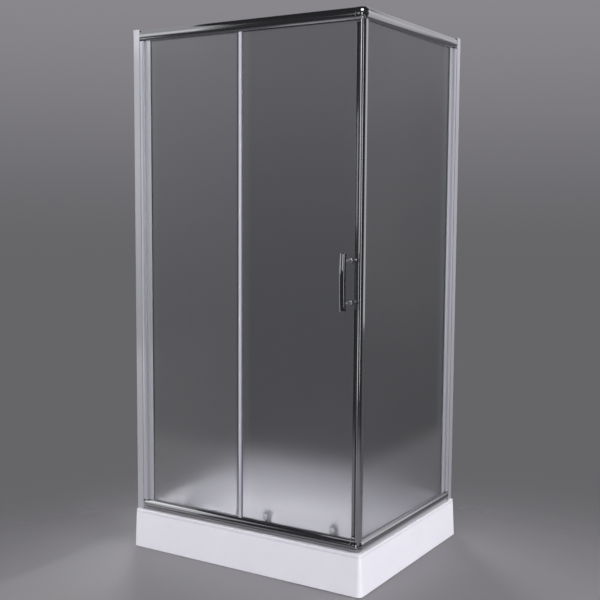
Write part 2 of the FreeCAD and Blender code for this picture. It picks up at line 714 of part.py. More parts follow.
def trap_screw():
    """Screw through the dish into the trap's boss."""
    foot = TRAP_BOSS_TOP - TRAP_SCREW_THREAD
    shank = upright(DRAIN_X, DRAIN_Y, TRAP_SCREW, foot, DISH_FLOOR)
    head = upright(DRAIN_X, DRAIN_Y, TRAP_SCREW_HEAD, DISH_FLOOR, DISH_FLOOR + TRAP_SCREW_HEAD_HEIGHT)
    return shank.fuse(head).removeSplitter()


def drain_cover():
    """Crowned cover that stands in the dish on three legs and lifts off by hand."""
    foot = SEAT_TOP + FLANGE_THICKNESS + COVER_LIFT
    edge = foot + COVER_THICKNESS
    radius = COVER_DIAMETER / 2
    section = closed_wire(
        Vector(DRAIN_X, DRAIN_Y, foot),
        Vector(DRAIN_X, DRAIN_Y, edge + COVER_CROWN),
        (
            Vector(DRAIN_X + radius / 2, DRAIN_Y, edge + COVER_CROWN * CROWN_HALFWAY_SHARE),
            Vector(DRAIN_X + radius, DRAIN_Y, edge),
        ),
        Vector(DRAIN_X + radius, DRAIN_Y, foot),
    )
    cover = Part.Face(section).revolve(Vector(DRAIN_X, DRAIN_Y, foot), UP, 360)
    for k in range(COVER_LEGS):
        angle = 2 * math.pi * k / COVER_LEGS
        x = DRAIN_X + COVER_LEG_CIRCLE / 2 * math.cos(angle)
        y = DRAIN_Y + COVER_LEG_CIRCLE / 2 * math.sin(angle)
        cover = cover.fuse(upright(x, y, COVER_LEG, DISH_FLOOR + SEAT_GAP, edge))
    return cover.removeSplitter()


def wall_channel(place):
    """Channel screwed to a wall, open towards the glass."""
    inside = CHANNEL_WIDTH - CHANNEL_WALL

    def at(s, t):
        return place(s, t, TRAY_HEIGHT)

    outline = closed_wire(
        at(0, 0),
        at(CHANNEL_REACH, 0),
        at(CHANNEL_REACH, CHANNEL_WALL),
        at(CHANNEL_WALL, CHANNEL_WALL),
        at(CHANNEL_WALL, inside),
        at(CHANNEL_REACH, inside),
        at(CHANNEL_REACH, CHANNEL_WIDTH),
        at(0, CHANNEL_WIDTH),
    )
    channel = prism(outline, UP * FRAME_HEIGHT)
    pitch = (FRAME_HEIGHT - 2 * WALL_HOLE_END) / (WALL_HOLES - 1)
    for k in range(WALL_HOLES):
        z = TRAY_HEIGHT + WALL_HOLE_END + k * pitch
        outside = place(-OVERRUN, CHANNEL_WIDTH / 2, z)
        through = place(CHANNEL_WALL + OVERRUN, CHANNEL_WIDTH / 2, z) - outside
        channel = channel.cut(Part.makeCylinder(WALL_HOLE / 2, through.Length, outside, through))
    return channel


def stile(place):
    """Hollow upright that slides into a wall channel and holds the edge of a pane."""
    root = CHANNEL_WALL + STILE_PLAY
    front = CHANNEL_WALL + SLIDE_GAP
    rear = CHANNEL_WIDTH - front
    lip_front = SLOT_FRONT - STILE_LIP_WALL
    lip_rear = SLOT_REAR + STILE_LIP_WALL

    def at(s, t):
        return place(s, t, LOWER_HEAD)

    outline = closed_wire(
        at(root, front),
        at(CHANNEL_REACH, front),
        (at(CHANNEL_REACH + STILE_BEAD / 2, 0), at(STILE_END, front)),
        at(STILE_END, lip_front),
        at(STILE_MOUTH, lip_front),
        at(STILE_MOUTH, SLOT_FRONT),
        at(STILE_SLOT, SLOT_FRONT),
        at(STILE_SLOT, SLOT_REAR),
        at(STILE_MOUTH, SLOT_REAR),
        at(STILE_MOUTH, lip_rear),
        at(STILE_END, lip_rear),
        at(STILE_END, rear),
        at(root, rear),
    )
    height = UPPER_FOOT - LOWER_HEAD
    chamber = bar(
        place,
        root + STILE_WALL,
        STILE_END - STILE_WALL,
        front + STILE_WALL,
        rear - STILE_WALL,
        LOWER_HEAD - OVERRUN,
        UPPER_FOOT + OVERRUN,
    )
    upright_bar = prism(outline, UP * height).cut(chamber)
    for z in stile_screw_heights():
        start = place(CHANNEL_REACH / 2, rear - STILE_WALL - OVERRUN, z)
        end = place(CHANNEL_REACH / 2, rear + OVERRUN, z)
        drill = Part.makeCylinder(STILE_SCREW / 2 + THREAD_GAP, (end - start).Length, start, end - start)
        upright_bar = upright_bar.cut(drill)
    return upright_bar


def stile_screw_heights():
    """Levels of the screws that pin a stile in its channel."""
    lowest = LOWER_HEAD + STILE_SCREW_END
    pitch = (UPPER_FOOT - LOWER_HEAD - 2 * STILE_SCREW_END) / (STILE_SCREWS - 1)
    return [lowest + k * pitch for k in range(STILE_SCREWS)]


def drilled_channel(place):
    """Wall channel with the holes of the stile screws in its inner leg."""
    channel = wall_channel(place)
    for z in stile_screw_heights():
        start = place(CHANNEL_REACH / 2, CHANNEL_WIDTH - CHANNEL_WALL - SLIDE_GAP / 2, z)
        end = place(CHANNEL_REACH / 2, CHANNEL_WIDTH + OVERRUN, z)
        drill = Part.makeCylinder(STILE_SCREW / 2 + THREAD_GAP, (end - start).Length, start, end - start)
        channel = channel.cut(drill)
    return channel


def inward_pin(place, diameter, t0, t1, z):
    """Round pin across the inner leg of a wall channel."""
    start = place(CHANNEL_REACH / 2, t0, z)
    end = place(CHANNEL_REACH / 2, t1, z)
    return Part.makeCylinder(diameter / 2, (end - start).Length, start, end - start)


def stile_screws():
    """Screws from the inside through each channel into its stile."""
    screws = []
    for place in (along_front, along_side):
        for z in stile_screw_heights():
            head_end = CHANNEL_WIDTH + STILE_SCREW_HEAD_HEIGHT
            head = inward_pin(place, STILE_SCREW_HEAD, CHANNEL_WIDTH, head_end, z)
            shank_end = CHANNEL_WIDTH - STILE_SCREW_LENGTH
            shank = inward_pin(place, STILE_SCREW, shank_end, CHANNEL_WIDTH, z)
            screws.append(head.fuse(shank).removeSplitter())
    return group(screws)


def stile_screw_caps():
    """Snap caps over the screw heads."""
    caps = []
    for place in (along_front, along_side):
        for z in stile_screw_heights():
            cap = inward_pin(place, CAP_DIAMETER, CHANNEL_WIDTH, CHANNEL_WIDTH + CAP_HEIGHT, z)
            room = STILE_SCREW_HEAD + 2 * SEAT_GAP
            room_end = CHANNEL_WIDTH + STILE_SCREW_HEAD_HEIGHT + SEAT_GAP
            caps.append(cap.cut(inward_pin(place, room, CHANNEL_WIDTH - OVERRUN, room_end, z)))
    return group(caps)


def rail_chamber(at):
    """Hollow of a rail: behind the round face and above the glazing slot."""
    half = RAIL_HEIGHT / 2
    outer = (half**2 + RAIL_BULGE**2) / (2 * RAIL_BULGE)
    inner = outer - RAIL_WALL
    low = half - math.sqrt(inner**2 - (outer - RAIL_BULGE) ** 2)
    high = outer - math.sqrt(inner**2 - (half - RAIL_WALL) ** 2)
    ceiling = RAIL_HEIGHT - RAIL_WALL
    floor = SLOT_DEPTH + RAIL_WALL
    return closed_wire(
        at(RAIL_BULGE, low),
        (at(RAIL_WALL, half), at(high, ceiling)),
        at(SLOT_REAR, ceiling),
        at(SLOT_REAR, floor),
        at(RAIL_BULGE, floor),
    )


def rail(place, end, foot, rise, track):
    """Rail with a round face and a glazing slot; a door rail also has a track for wheels."""

    def at(u, v):
        return place(RAIL_START, u, foot + rise * v)

    lip_front = TRACK_SETBACK - TRACK_LIP / 2
    lip_rear = TRACK_SETBACK + TRACK_LIP / 2
    cover_foot = RAIL_HEIGHT - RAIL_WALL
    plain_back = [at(RAIL_REAR, RAIL_HEIGHT), at(RAIL_REAR, 0)]
    track_back = [
        at(TRACK_COVER, RAIL_HEIGHT),
        at(TRACK_COVER, cover_foot),
        at(RAIL_REAR, cover_foot),
        at(RAIL_REAR, RAIL_WALL),
        at(lip_front, RAIL_WALL),
        at(lip_front, TRACK_RISE),
        at(lip_rear, TRACK_RISE),
        at(lip_rear, 0),
    ]
    outline = closed_wire(
        at(RAIL_BULGE, 0),
        (at(0, RAIL_HEIGHT / 2), at(RAIL_BULGE, RAIL_HEIGHT)),
        *(track_back if track else plain_back),
        at(SLOT_REAR, 0),
        at(SLOT_REAR, SLOT_DEPTH),
        at(SLOT_FRONT, SLOT_DEPTH),
        at(SLOT_FRONT, 0),
    )
    run = place(end, 0, 0) - place(RAIL_START, 0, 0)
    return prism(outline, run).cut(prism(rail_chamber(at), run))


def rail_face(at):
    """Closed section with the round face of the rails, as deep as a rail without a track."""
    return closed_wire(
        at(RAIL_REAR, 0),
        at(RAIL_BULGE, 0),
        (at(0, RAIL_HEIGHT / 2), at(RAIL_BULGE, RAIL_HEIGHT)),
        at(RAIL_REAR, RAIL_HEIGHT),
    )


def rail_tongue(place, start, end, foot, rise):
    """Tongue of a connector inside the chamber of a rail."""
    low = foot + rise * (SLOT_DEPTH + RAIL_WALL + SLIDE_GAP)
    high = foot + rise * (RAIL_HEIGHT - RAIL_WALL - SLIDE_GAP)
    return bar(place, start, end, SLOT_FRONT, SLOT_REAR - SLIDE_GAP, min(low, high), max(low, high))


def rail_end_connector(place, foot, rise):
    """Block in a wall channel with a collar and a tongue that carries the rail's end."""

    def at(u, v):
        return place(CHANNEL_REACH, u, foot + rise * v)

    run = place(RAIL_START, 0, 0) - place(CHANNEL_REACH, 0, 0)
    collar = prism(rail_face(at), run)
    head = foot + rise * RAIL_HEIGHT
    front = CHANNEL_WALL + SLIDE_GAP
    block = bar(
        place,
        CHANNEL_WALL + STILE_PLAY,
        CHANNEL_REACH,
        front,
        CHANNEL_WIDTH - front,
        min(foot, head),
        max(foot, head),
    )
    tongue = rail_tongue(place, RAIL_START, RAIL_START + TONGUE, foot, rise)
    return collar.fuse([block, tongue]).removeSplitter()


def rail_end_connectors():
    """The four ends where rails meet wall channels."""
    levels = ((UPPER_FOOT, 1), (LOWER_HEAD, -1))
    return group(
        [
            rail_end_connector(place, foot, rise)
            for place in (along_front, along_side)
            for foot, rise in levels
        ]
    )


def post_outline(z):
    """Plan of the corner post: round nose, pane slot to the back, closing leg inside."""
    slot_right = FRAME_SIDE - SLOT_FRONT
    slot_left = FRAME_SIDE - SLOT_REAR
    leg_front = DOOR_Y - LEG_WIDTH / 2
    leg_back = DOOR_Y + LEG_WIDTH / 2
    return closed_wire(
        Vector(POST_X - POST_RADIUS, POST_Y, z),
        (Vector(POST_X, POST_Y - POST_RADIUS, z), Vector(POST_X + POST_RADIUS, POST_Y, z)),
        Vector(POST_X + POST_RADIUS, CORNER_Y, z),
        Vector(slot_right, CORNER_Y, z),
        Vector(slot_right, POST_SLOT_END, z),
        Vector(slot_left, POST_SLOT_END, z),
        Vector(slot_left, leg_back, z),
        Vector(LEG_X, leg_back, z),
        Vector(LEG_X, leg_front, z),
        Vector(POST_X - POST_RADIUS, leg_front, z),
    )


def corner_post():
    """Post between the corner connectors, with a hollow closing leg."""
    post = prism(post_outline(LOWER_HEAD), UP * (UPPER_FOOT - LOWER_HEAD))
    hollow = box(
        LEG_X + LEG_WALL,
        FRAME_SIDE - SLOT_REAR - LEG_WALL,
        DOOR_Y - LEG_WIDTH / 2 + LEG_WALL,
        DOOR_Y + LEG_WIDTH / 2 - LEG_WALL,
        LOWER_HEAD - OVERRUN,
        UPPER_FOOT + OVERRUN,
    )
    post = post.cut(hollow)
    for foot, rise in CORNER_LEVELS:
        post = post.cut(corner_spigot(foot, rise, SPIGOT + 2 * THREAD_GAP, SPIGOT_LENGTH + SEAT_GAP))
    return post


def corner_spigot(foot, rise, diameter, length):
    """Round pin from the middle of a connector into the end of the post."""
    root = foot + rise * RAIL_HEIGHT / 2
    end = foot - rise * length
    inset = SLOT_FRONT - SPIGOT_WALL - SPIGOT / 2
    x = FRAME_SIDE - inset
    y = FRAME_FRONT + inset
    return upright(x, y, diameter, min(root, end), max(root, end))


def corner_connector(foot, rise):
    """Ball-like corner that joins two rails and stands on the post with a neck."""

    def at(u, v):
        return Vector(CORNER_X, FRAME_FRONT + u, foot + rise * v)

    section = closed_wire(
        at(CORNER_RADIUS, 0),
        at(RAIL_BULGE, 0),
        (at(0, RAIL_HEIGHT / 2), at(RAIL_BULGE, RAIL_HEIGHT)),
        at(CORNER_RADIUS, RAIL_HEIGHT),
    )
    ball = Part.Face(section).revolve(Vector(CORNER_X, CORNER_Y, 0), UP, 90)
    neck_root = foot + rise * RAIL_HEIGHT / 2
    neck = upright(
        FRAME_SIDE - NECK_INSET,
        FRAME_FRONT + NECK_INSET,
        CORNER_NECK,
        min(foot, neck_root),
        max(foot, neck_root),
    )
    connector = ball.fuse([neck, corner_spigot(foot, rise, SPIGOT, SPIGOT_LENGTH)])
    connector = connector.fuse(
        [
            rail_tongue(along_front, FRONT_RUN - TONGUE, FRONT_RUN, foot, rise),
            rail_tongue(along_side, SIDE_RUN - TONGUE, SIDE_RUN, foot, rise),
        ]
    )
    slot_end = foot + rise * SLOT_DEPTH
    pane_slot = bar(
        along_side,
        SIDE_RUN,
        TRAY_BACK - POST_SLOT_END,
        SLOT_FRONT,
        SLOT_REAR,
        min(foot, slot_end),
        max(foot, slot_end),
    )
    return connector.cut(pane_slot).removeSplitter()


def framed_pane(place, end):
    """Pane from the slot of its stile to a given run."""
    front = PANE_SETBACK - PANE / 2
    rear = PANE_SETBACK + PANE / 2
    return bar(place, PANE_START, end, front, rear, PANE_FOOT, PANE_HEAD)


def fixed_pane():
    """Frosted pane beside the door."""
    return framed_pane(along_front, MEETING_RUN)


def side_pane():
    """Frosted pane of the return side."""
    return framed_pane(along_side, SIDE_PANE_END)


def edge_gaskets(place, end, pane):
    """Strips that line the slots of both rails and of the stile round a pane."""
    strips = [
        bar(place, PANE_START, end, SLOT_FRONT, SLOT_REAR, UPPER_FOOT, UPPER_FOOT + SLOT_DEPTH),
        bar(place, PANE_START, end, SLOT_FRONT, SLOT_REAR, LOWER_HEAD - SLOT_DEPTH, LOWER_HEAD),
        bar(place, STILE_SLOT, STILE_MOUTH, SLOT_FRONT, SLOT_REAR, LOWER_HEAD, UPPER_FOOT),
    ]
    return [strip.cut(pane) for strip in strips]


def fixed_pane_gaskets():
    """Glazing strips of the fixed pane."""
    return group(edge_gaskets(along_front, MEETING_RUN, fixed_pane()))


def side_pane_gaskets():
    """Glazing strips of the side pane, with one more in the post."""
    pane = side_pane()
    strips = edge_gaskets(along_side, SIDE_RUN, pane)
    post_strip = bar(
        along_side,
        SIDE_RUN,
        TRAY_BACK - POST_SLOT_END,
        SLOT_FRONT,
        SLOT_REAR,
        LOWER_HEAD,
        UPPER_FOOT,
    )
    strips.append(post_strip.cut(pane))
    return group(strips)


def meeting_seal():
    """Clear profile on the free edge of the fixed pane, with a fin towards the door."""
    half = PANE / 2 + SEAL_WALL
    left = MEETING_X - SEAL_GRIP
    clip = box(
        left, MEETING_X + SEAL_WALL, FIXED_PANE_Y - half, FIXED_PANE_Y + half, LOWER_HEAD, UPPER_FOOT
    )
    fin_foot = LOWER_BOLT_Z + LOWER_CAP / 2 + SEAL_END_GAP
    fin = box(
        left, left + SEAL_FIN, FIXED_PANE_Y, DOOR_OUTER - SEAL_FIN_GAP, fin_foot, SEAL_HEAD
    )
    return clip.fuse(fin).cut(fixed_pane()).removeSplitter()


def post_magnet():
    """Magnet strip on the closing face of the post."""
    half = MAGNET_WIDTH / 2
    return box(LEG_X - MAGNET, LEG_X, DOOR_Y - half, DOOR_Y + half, LOWER_HEAD, UPPER_FOOT)


def door_stops():
    """Rubber blocks in the top track where the upper wheels stop."""
    y0 = FRAME_FRONT + RAIL_REAR + SEAT_GAP
    y1 = TRACK_Y - TRACK_LIP / 2 - SEAT_GAP
    foot = UPPER_FOOT + RAIL_WALL
    reach = WHEEL_DIAMETER / 2 + SEAT_GAP
    open_stop = ROLLER_LEFT - DOOR_TRAVEL - reach
    closed_stop = ROLLER_RIGHT + reach
    return group(
        [
            box(open_stop - STOP_LENGTH, open_stop, y0, y1, foot, foot + STOP_HEIGHT),
            box(closed_stop, closed_stop + STOP_LENGTH, y0, y1, foot, foot + STOP_HEIGHT),
        ]
    )


def door_blank():
    """Sliding pane before its holes are drilled."""
    return box(DOOR_LEFT, DOOR_RIGHT, DOOR_OUTER, DOOR_INNER, DOOR_FOOT, DOOR_HEAD)


def door_pane():
    """Frosted sliding pane with holes for the rollers and the handle."""
    pane = door_blank()
    holes = [(x, UPPER_WHEEL_Z, BUSH_DIAMETER + 2 * SEAT_GAP) for x in ROLLERS]
    holes += [(x, LOWER_BOLT_Z, LOWER_BOLT_HOLE) for x in ROLLERS]
    holes += [(HANDLE_X, z, HANDLE_HOLE) for z in HANDLE_POSTS]
    for x, z, diameter in holes:
        pane = pane.cut(across(x, z, diameter, DOOR_OUTER - OVERRUN, DOOR_INNER + OVERRUN))
    return pane


def door_closing_profile():
    """Chromed profile on the closing edge of the door."""
    half = PANE / 2 + CLOSING_WALL
    profile = box(PROFILE_LEFT, PROFILE_RIGHT, DOOR_Y - half, DOOR_Y + half, SEAL_FOOT, SEAL_HEAD)
    return profile.cut(door_blank())


def door_magnet():
    """Dark magnet strip that meets the strip on the post."""
    half = MAGNET_WIDTH / 2
    return box(PROFILE_RIGHT, CLOSING_FACE, DOOR_Y - half, DOOR_Y + half, SEAL_FOOT, SEAL_HEAD)


def door_rear_seal():
    """Clear profile on the trailing edge of the door, with a hook behind the meeting fin."""
    half = PANE / 2 + SEAL_WALL
    right = MEETING_X - SEAL_GRIP - SEAT_GAP
    clip = box(DOOR_LEFT - SEAL_WALL, right, DOOR_Y - half, DOOR_Y + half, SEAL_FOOT, SEAL_HEAD)
    hook = box(right - SEAL_FIN, right, DOOR_Y - half - REAR_HOOK, DOOR_Y, SEAL_FOOT, SEAL_HEAD)
    return clip.fuse(hook).cut(door_blank()).removeSplitter()


def handle_blank():
    """Bowed bar before its edges are rounded."""
    x0 = HANDLE_X - HANDLE_WIDTH / 2
    low = HANDLE_HEIGHT - HANDLE_LENGTH / 2
    high = HANDLE_HEIGHT + HANDLE_LENGTH / 2
    back = HANDLE_FACE + HANDLE_THICKNESS
    outline = closed_wire(
        Vector(x0, HANDLE_FACE + HANDLE_BOW, low),
        (Vector(x0, HANDLE_FACE, HANDLE_HEIGHT), Vector(x0, HANDLE_FACE + HANDLE_BOW, high)),
        Vector(x0, back + HANDLE_BOW, high),
        (Vector(x0, back, HANDLE_HEIGHT), Vector(x0, back + HANDLE_BOW, low)),
    )
    return prism(outline, Vector(HANDLE_WIDTH, 0, 0))


def handle_bar():
    """Grip of the handle."""
    blank = handle_blank()
    return blank.makeFillet(HANDLE_EDGE, blank.Edges)


def handle_posts():
    """Stand-offs between the door and the grip."""
    blank = handle_blank()
    posts = []
    for z in HANDLE_POSTS:
        base = DOOR_OUTER - HANDLE_ROSETTE_THICKNESS
        post = across(HANDLE_X, z, HANDLE_POST, HANDLE_FACE + HANDLE_THICKNESS, DOOR_OUTER)
        rosette = across(HANDLE_X, z, HANDLE_ROSETTE, base, DOOR_OUTER)
        thread_start = DOOR_OUTER - HANDLE_BOLT_GRIP
        thread = across(HANDLE_X, z, HANDLE_BOLT + 2 * THREAD_GAP, thread_start, DOOR_OUTER + OVERRUN)
        posts.append(post.fuse(rosette).cut(blank).cut(thread).removeSplitter())
    return group(posts)


def handle_bolts():
    """Studs through the pane that hold the stand-offs."""
    y0 = DOOR_OUTER - HANDLE_BOLT_GRIP
    y1 = DOOR_INNER + HANDLE_CAP_GRIP
    return group([across(HANDLE_X, z, HANDLE_BOLT, y0, y1) for z in HANDLE_POSTS])


def handle_inner_caps():
    """Round nuts on the inside of the door."""
    caps = []
    for z in HANDLE_POSTS:
        cap = across(HANDLE_X, z, HANDLE_CAP, DOOR_INNER, DOOR_INNER + HANDLE_CAP_THICKNESS)
        thread_end = DOOR_INNER + HANDLE_CAP_GRIP
        thread = across(HANDLE_X, z, HANDLE_BOLT + 2 * THREAD_GAP, DOOR_INNER - OVERRUN, thread_end)
        caps.append(cap.cut(thread))
    return group(caps)


def wheel(x, z, bore):
    """Grooved wheel that runs on the track lip."""
    rim = WHEEL_DIAMETER / 2
    root = GROOVE_DIAMETER / 2
    hub = bore / 2
    half_groove = GROOVE_WIDTH / 2

    def at(radius, y):
        return Vector(x, y, z + radius)

    section = closed_wire(
        at(hub, WHEEL_OUTER),
        at(rim, WHEEL_OUTER),
        at(rim, TRACK_Y - half_groove),
        at(root, TRACK_Y - half_groove),
        at(root, TRACK_Y + half_groove),
        at(rim, TRACK_Y + half_groove),
        at(rim, WHEEL_INNER),
        at(hub, WHEEL_INNER),
    )
    return Part.Face(section).revolve(Vector(x, TRACK_Y, z), BACKWARD, 360)


def upper_wheel(x):
    """Wheel that hangs the door on the top rail."""
    return wheel(x, UPPER_WHEEL_Z, AXLE + 2 * RUNNING_GAP)


def upper_axles():
    """Bolts that carry the upper wheels."""
    axles = []
    for x in ROLLERS:
        head_end = WHEEL_OUTER - SEAT_GAP
        head = across(x, UPPER_WHEEL_Z, AXLE_HEAD, head_end - AXLE_HEAD_THICKNESS, head_end)
        shank = across(x, UPPER_WHEEL_Z, AXLE, head_end, DOOR_INNER + CAP_NUT_GRIP)
        axles.append(head.fuse(shank).removeSplitter())
    return group(axles)


def upper_bushes():
    """Flanged bushes that seat the upper axles in the pane."""
    bushes = []
    for x in ROLLERS:
        sleeve = across(x, UPPER_WHEEL_Z, BUSH_DIAMETER, DOOR_OUTER, DOOR_INNER)
        flange = across(x, UPPER_WHEEL_Z, BUSH_FLANGE, WHEEL_INNER + SEAT_GAP, DOOR_OUTER)
        bore = across(x, UPPER_WHEEL_Z, AXLE + 2 * THREAD_GAP, WHEEL_INNER, DOOR_INNER + OVERRUN)
        bushes.append(sleeve.fuse(flange).cut(bore).removeSplitter())
    return group(bushes)


def upper_cap_nuts():
    """Round nuts of the upper axles on the inside of the door."""
    nuts = []
    for x in ROLLERS:
        nut = across(x, UPPER_WHEEL_Z, CAP_NUT, DOOR_INNER, DOOR_INNER + CAP_NUT_THICKNESS)
        thread_end = DOOR_INNER + CAP_NUT_GRIP
        thread = across(x, UPPER_WHEEL_Z, AXLE + 2 * THREAD_GAP, DOOR_INNER - OVERRUN, thread_end)
        nuts.append(nut.cut(thread))
    return group(nuts)


def lower_bolts():
    """Bolts of the lower rollers, with the round caps seen above the bottom rail."""
    bolts = []
    for x in ROLLERS:
        cap = across(x, LOWER_BOLT_Z, LOWER_CAP, DOOR_OUTER - LOWER_CAP_THICKNESS, DOOR_OUTER)
        outer_edges = [edge for edge in cap.Edges if edge.BoundBox.YMax < DOOR_OUTER - SEAT_GAP]
        cap = cap.makeFillet(LOWER_CAP_EDGE, outer_edges)
        shank = across(x, LOWER_BOLT_Z, LOWER_BOLT, DOOR_OUTER, DOOR_INNER + HOUSING_FRONT_WALL)
        bolts.append(cap.fuse(shank).removeSplitter())
    return group(bolts)


def lower_housings():
    """Housings inside the door that guide the push-down plungers."""
    housings = []
    for x in ROLLERS:
        half = HOUSING_WIDTH / 2
        block = box(x - half, x + half, DOOR_INNER, HOUSING_BACK, HOUSING_BOTTOM, HOUSING_TOP)
        corners = [edge for edge in block.Edges if edge.BoundBox.YMin > HOUSING_BACK - SEAT_GAP]
        block = block.makeFillet(HOUSING_EDGE, corners)
        pocket = upright(x, PLUNGER_Y, 2 * POCKET_RADIUS, POCKET_FLOOR, HOUSING_TOP + OVERRUN)
        stem = PLUNGER_STEM + 2 * RUNNING_GAP
        guide = upright(x, PLUNGER_Y, stem, HOUSING_BOTTOM - OVERRUN, POCKET_FLOOR + OVERRUN)
        thread_end = DOOR_INNER + HOUSING_FRONT_WALL + THREAD_GAP
        thread = across(x, LOWER_BOLT_Z, LOWER_BOLT + 2 * THREAD_GAP, DOOR_INNER - OVERRUN, thread_end)
        housings.append(block.cut(pocket).cut(guide).cut(thread))
    return group(housings)


def lower_plunger(x):
    """Sprung plunger: button on top, stem, and a foot with the axle of the lower wheel."""
    button_top = HOUSING_TOP + PLUNGER_BUTTON
    head = upright(x, PLUNGER_Y, PLUNGER_HEAD, HEAD_UNDERSIDE, button_top)
    rim = [edge for edge in head.Edges if edge.BoundBox.ZMin > button_top - SEAT_GAP]
    head = head.makeFillet(PLUNGER_EDGE, rim)
    foot_half = PLUNGER_FOOT_WIDTH / 2
    foot = box(
        x - foot_half,
        x + foot_half,
        PLUNGER_Y - foot_half,
        PLUNGER_Y + foot_half,
        LOWER_WHEEL_Z - foot_half,
        LOWER_WHEEL_Z + foot_half,
    )
    stem = upright(x, PLUNGER_Y, PLUNGER_STEM, LOWER_WHEEL_Z, HEAD_UNDERSIDE)
    collar = across(x, LOWER_WHEEL_Z, LOWER_AXLE_COLLAR, WHEEL_INNER + SEAT_GAP, PLUNGER_Y)
    head_end = WHEEL_OUTER - SEAT_GAP
    axle = across(x, LOWER_WHEEL_Z, LOWER_AXLE, head_end, PLUNGER_Y)
    axle_head = across(x, LOWER_WHEEL_Z, AXLE_HEAD, head_end - AXLE_HEAD_THICKNESS, head_end)
    return head.fuse([stem, foot, collar, axle, axle_head]).removeSplitter()


def lower_spring(x):
    """Coil between the housing's floor and the plunger's head."""
    foot = POCKET_FLOOR + SPRING_WIRE / 2 + SEAT_GAP
    height = HEAD_UNDERSIDE - SPRING_WIRE - 2 * SEAT_GAP - POCKET_FLOOR
    radius = (PLUNGER_HEAD + PLUNGER_STEM) / 4
    path = Part.makeHelix(height / SPRING_TURNS, height, radius)
    start = path.Vertexes[0].Point
    wire_circle = Part.Wire(Part.makeCircle(SPRING_WIRE / 2, start, BACKWARD))
    coil = path.makePipeShell([wire_circle], True, True)
    coil.translate(Vector(x, PLUNGER_Y, foot))
    return coil


def lower_wheel(x):
    """Wheel held up against the lip of the bottom rail."""
    return wheel(x, LOWER_WHEEL_Z, LOWER_AXLE + 2 * RUNNING_GAP)


def build_nodes():
    """All pieces by name."""
    return {
        "tray_shell": tray_shell(),
        "tray_apron": tray_apron(),
        "reinforcing_board": reinforcing_board(),
        "frame_tube_left": frame_tube(TUBE_LEFT),
        "frame_tube_centre": frame_tube(0),
        "frame_tube_right": frame_tube(TUBE_RIGHT),
        "foot_rods": foot_rods(),
        "foot_pads": foot_pads(),
        "foot_nuts": foot_nuts(),
        "apron_brackets": apron_brackets(),
        "apron_clips": apron_clips(),
        "drain_flange": drain_flange(),
        "drain_seal": drain_seal(),
        "trap_body": trap_body(),
        "trap_screw": trap_screw(),
        "drain_cover": drain_cover(),
        "wall_channel_left": drilled_channel(along_front),
        "wall_channel_back": drilled_channel(along_side),
        "stile_left": stile(along_front),
        "stile_back": stile(along_side),
        "stile_screws": stile_screws(),
        "stile_screw_caps": stile_screw_caps(),
        "rail_front_top": rail(along_front, FRONT_RUN, UPPER_FOOT, 1, True),
        "rail_front_bottom": rail(along_front, FRONT_RUN, LOWER_HEAD, -1, True),
        "rail_side_top": rail(along_side, SIDE_RUN, UPPER_FOOT, 1, False),
        "rail_side_bottom": rail(along_side, SIDE_RUN, LOWER_HEAD, -1, False),
        "rail_end_connectors": rail_end_connectors(),
        "corner_top": corner_connector(UPPER_FOOT, 1),
        "corner_bottom": corner_connector(LOWER_HEAD, -1),
        "corner_post": corner_post(),
        "fixed_pane": fixed_pane(),
        "side_pane": side_pane(),
        "fixed_pane_gaskets": fixed_pane_gaskets(),
        "side_pane_gaskets": side_pane_gaskets(),
        "meeting_seal": meeting_seal(),
        "post_magnet": post_magnet(),
        "door_stops": door_stops(),
        "door_pane": door_pane(),
        "door_closing_profile": door_closing_profile(),
        "door_magnet": door_magnet(),
        "door_rear_seal": door_rear_seal(),
        "handle_bar": handle_bar(),
        "handle_posts": handle_posts(),
        "handle_bolts": handle_bolts(),
        "handle_inner_caps": handle_inner_caps(),
        "upper_axles": upper_axles(),
        "upper_bushes": upper_bushes(),
        "upper_cap_nuts": upper_cap_nuts(),
        "lower_bolts": lower_bolts(),
        "lower_housings": lower_housings(),
        "upper_wheel_left": upper_wheel(ROLLER_LEFT),
        "upper_wheel_right": upper_wheel(ROLLER_RIGHT),
        "lower_plunger_left": lower_plunger(ROLLER_LEFT),
        "lower_plunger_right": lower_plunger(ROLLER_RIGHT),
        "lower_wheel_left": lower_wheel(ROLLER_LEFT),
        "lower_wheel_right": lower_wheel(ROLLER_RIGHT),
        "lower_spring_left": lower_spring(ROLLER_LEFT),
        "lower_spring_right": lower_spring(ROLLER_RIGHT),
    }


def main():
    """Write one file per piece."""
    os.makedirs("parts", exist_ok=True)
    for name, shape in build_nodes().items():
        shape.exportStep(f"parts/{name}.step")
    print(f"door travel {DOOR_TRAVEL:.2f} mm")


main()
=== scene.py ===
"""Corner shower enclosure: formed tray, framed panes, sliding door, finishes, studio and camera."""

import logging
import math
from contextlib import contextmanager
from dataclasses import dataclass, replace
from enum import Enum
from functools import cache
from typing import Callable, Iterator, Sequence

import bpy
from mathutils import Matrix, Vector


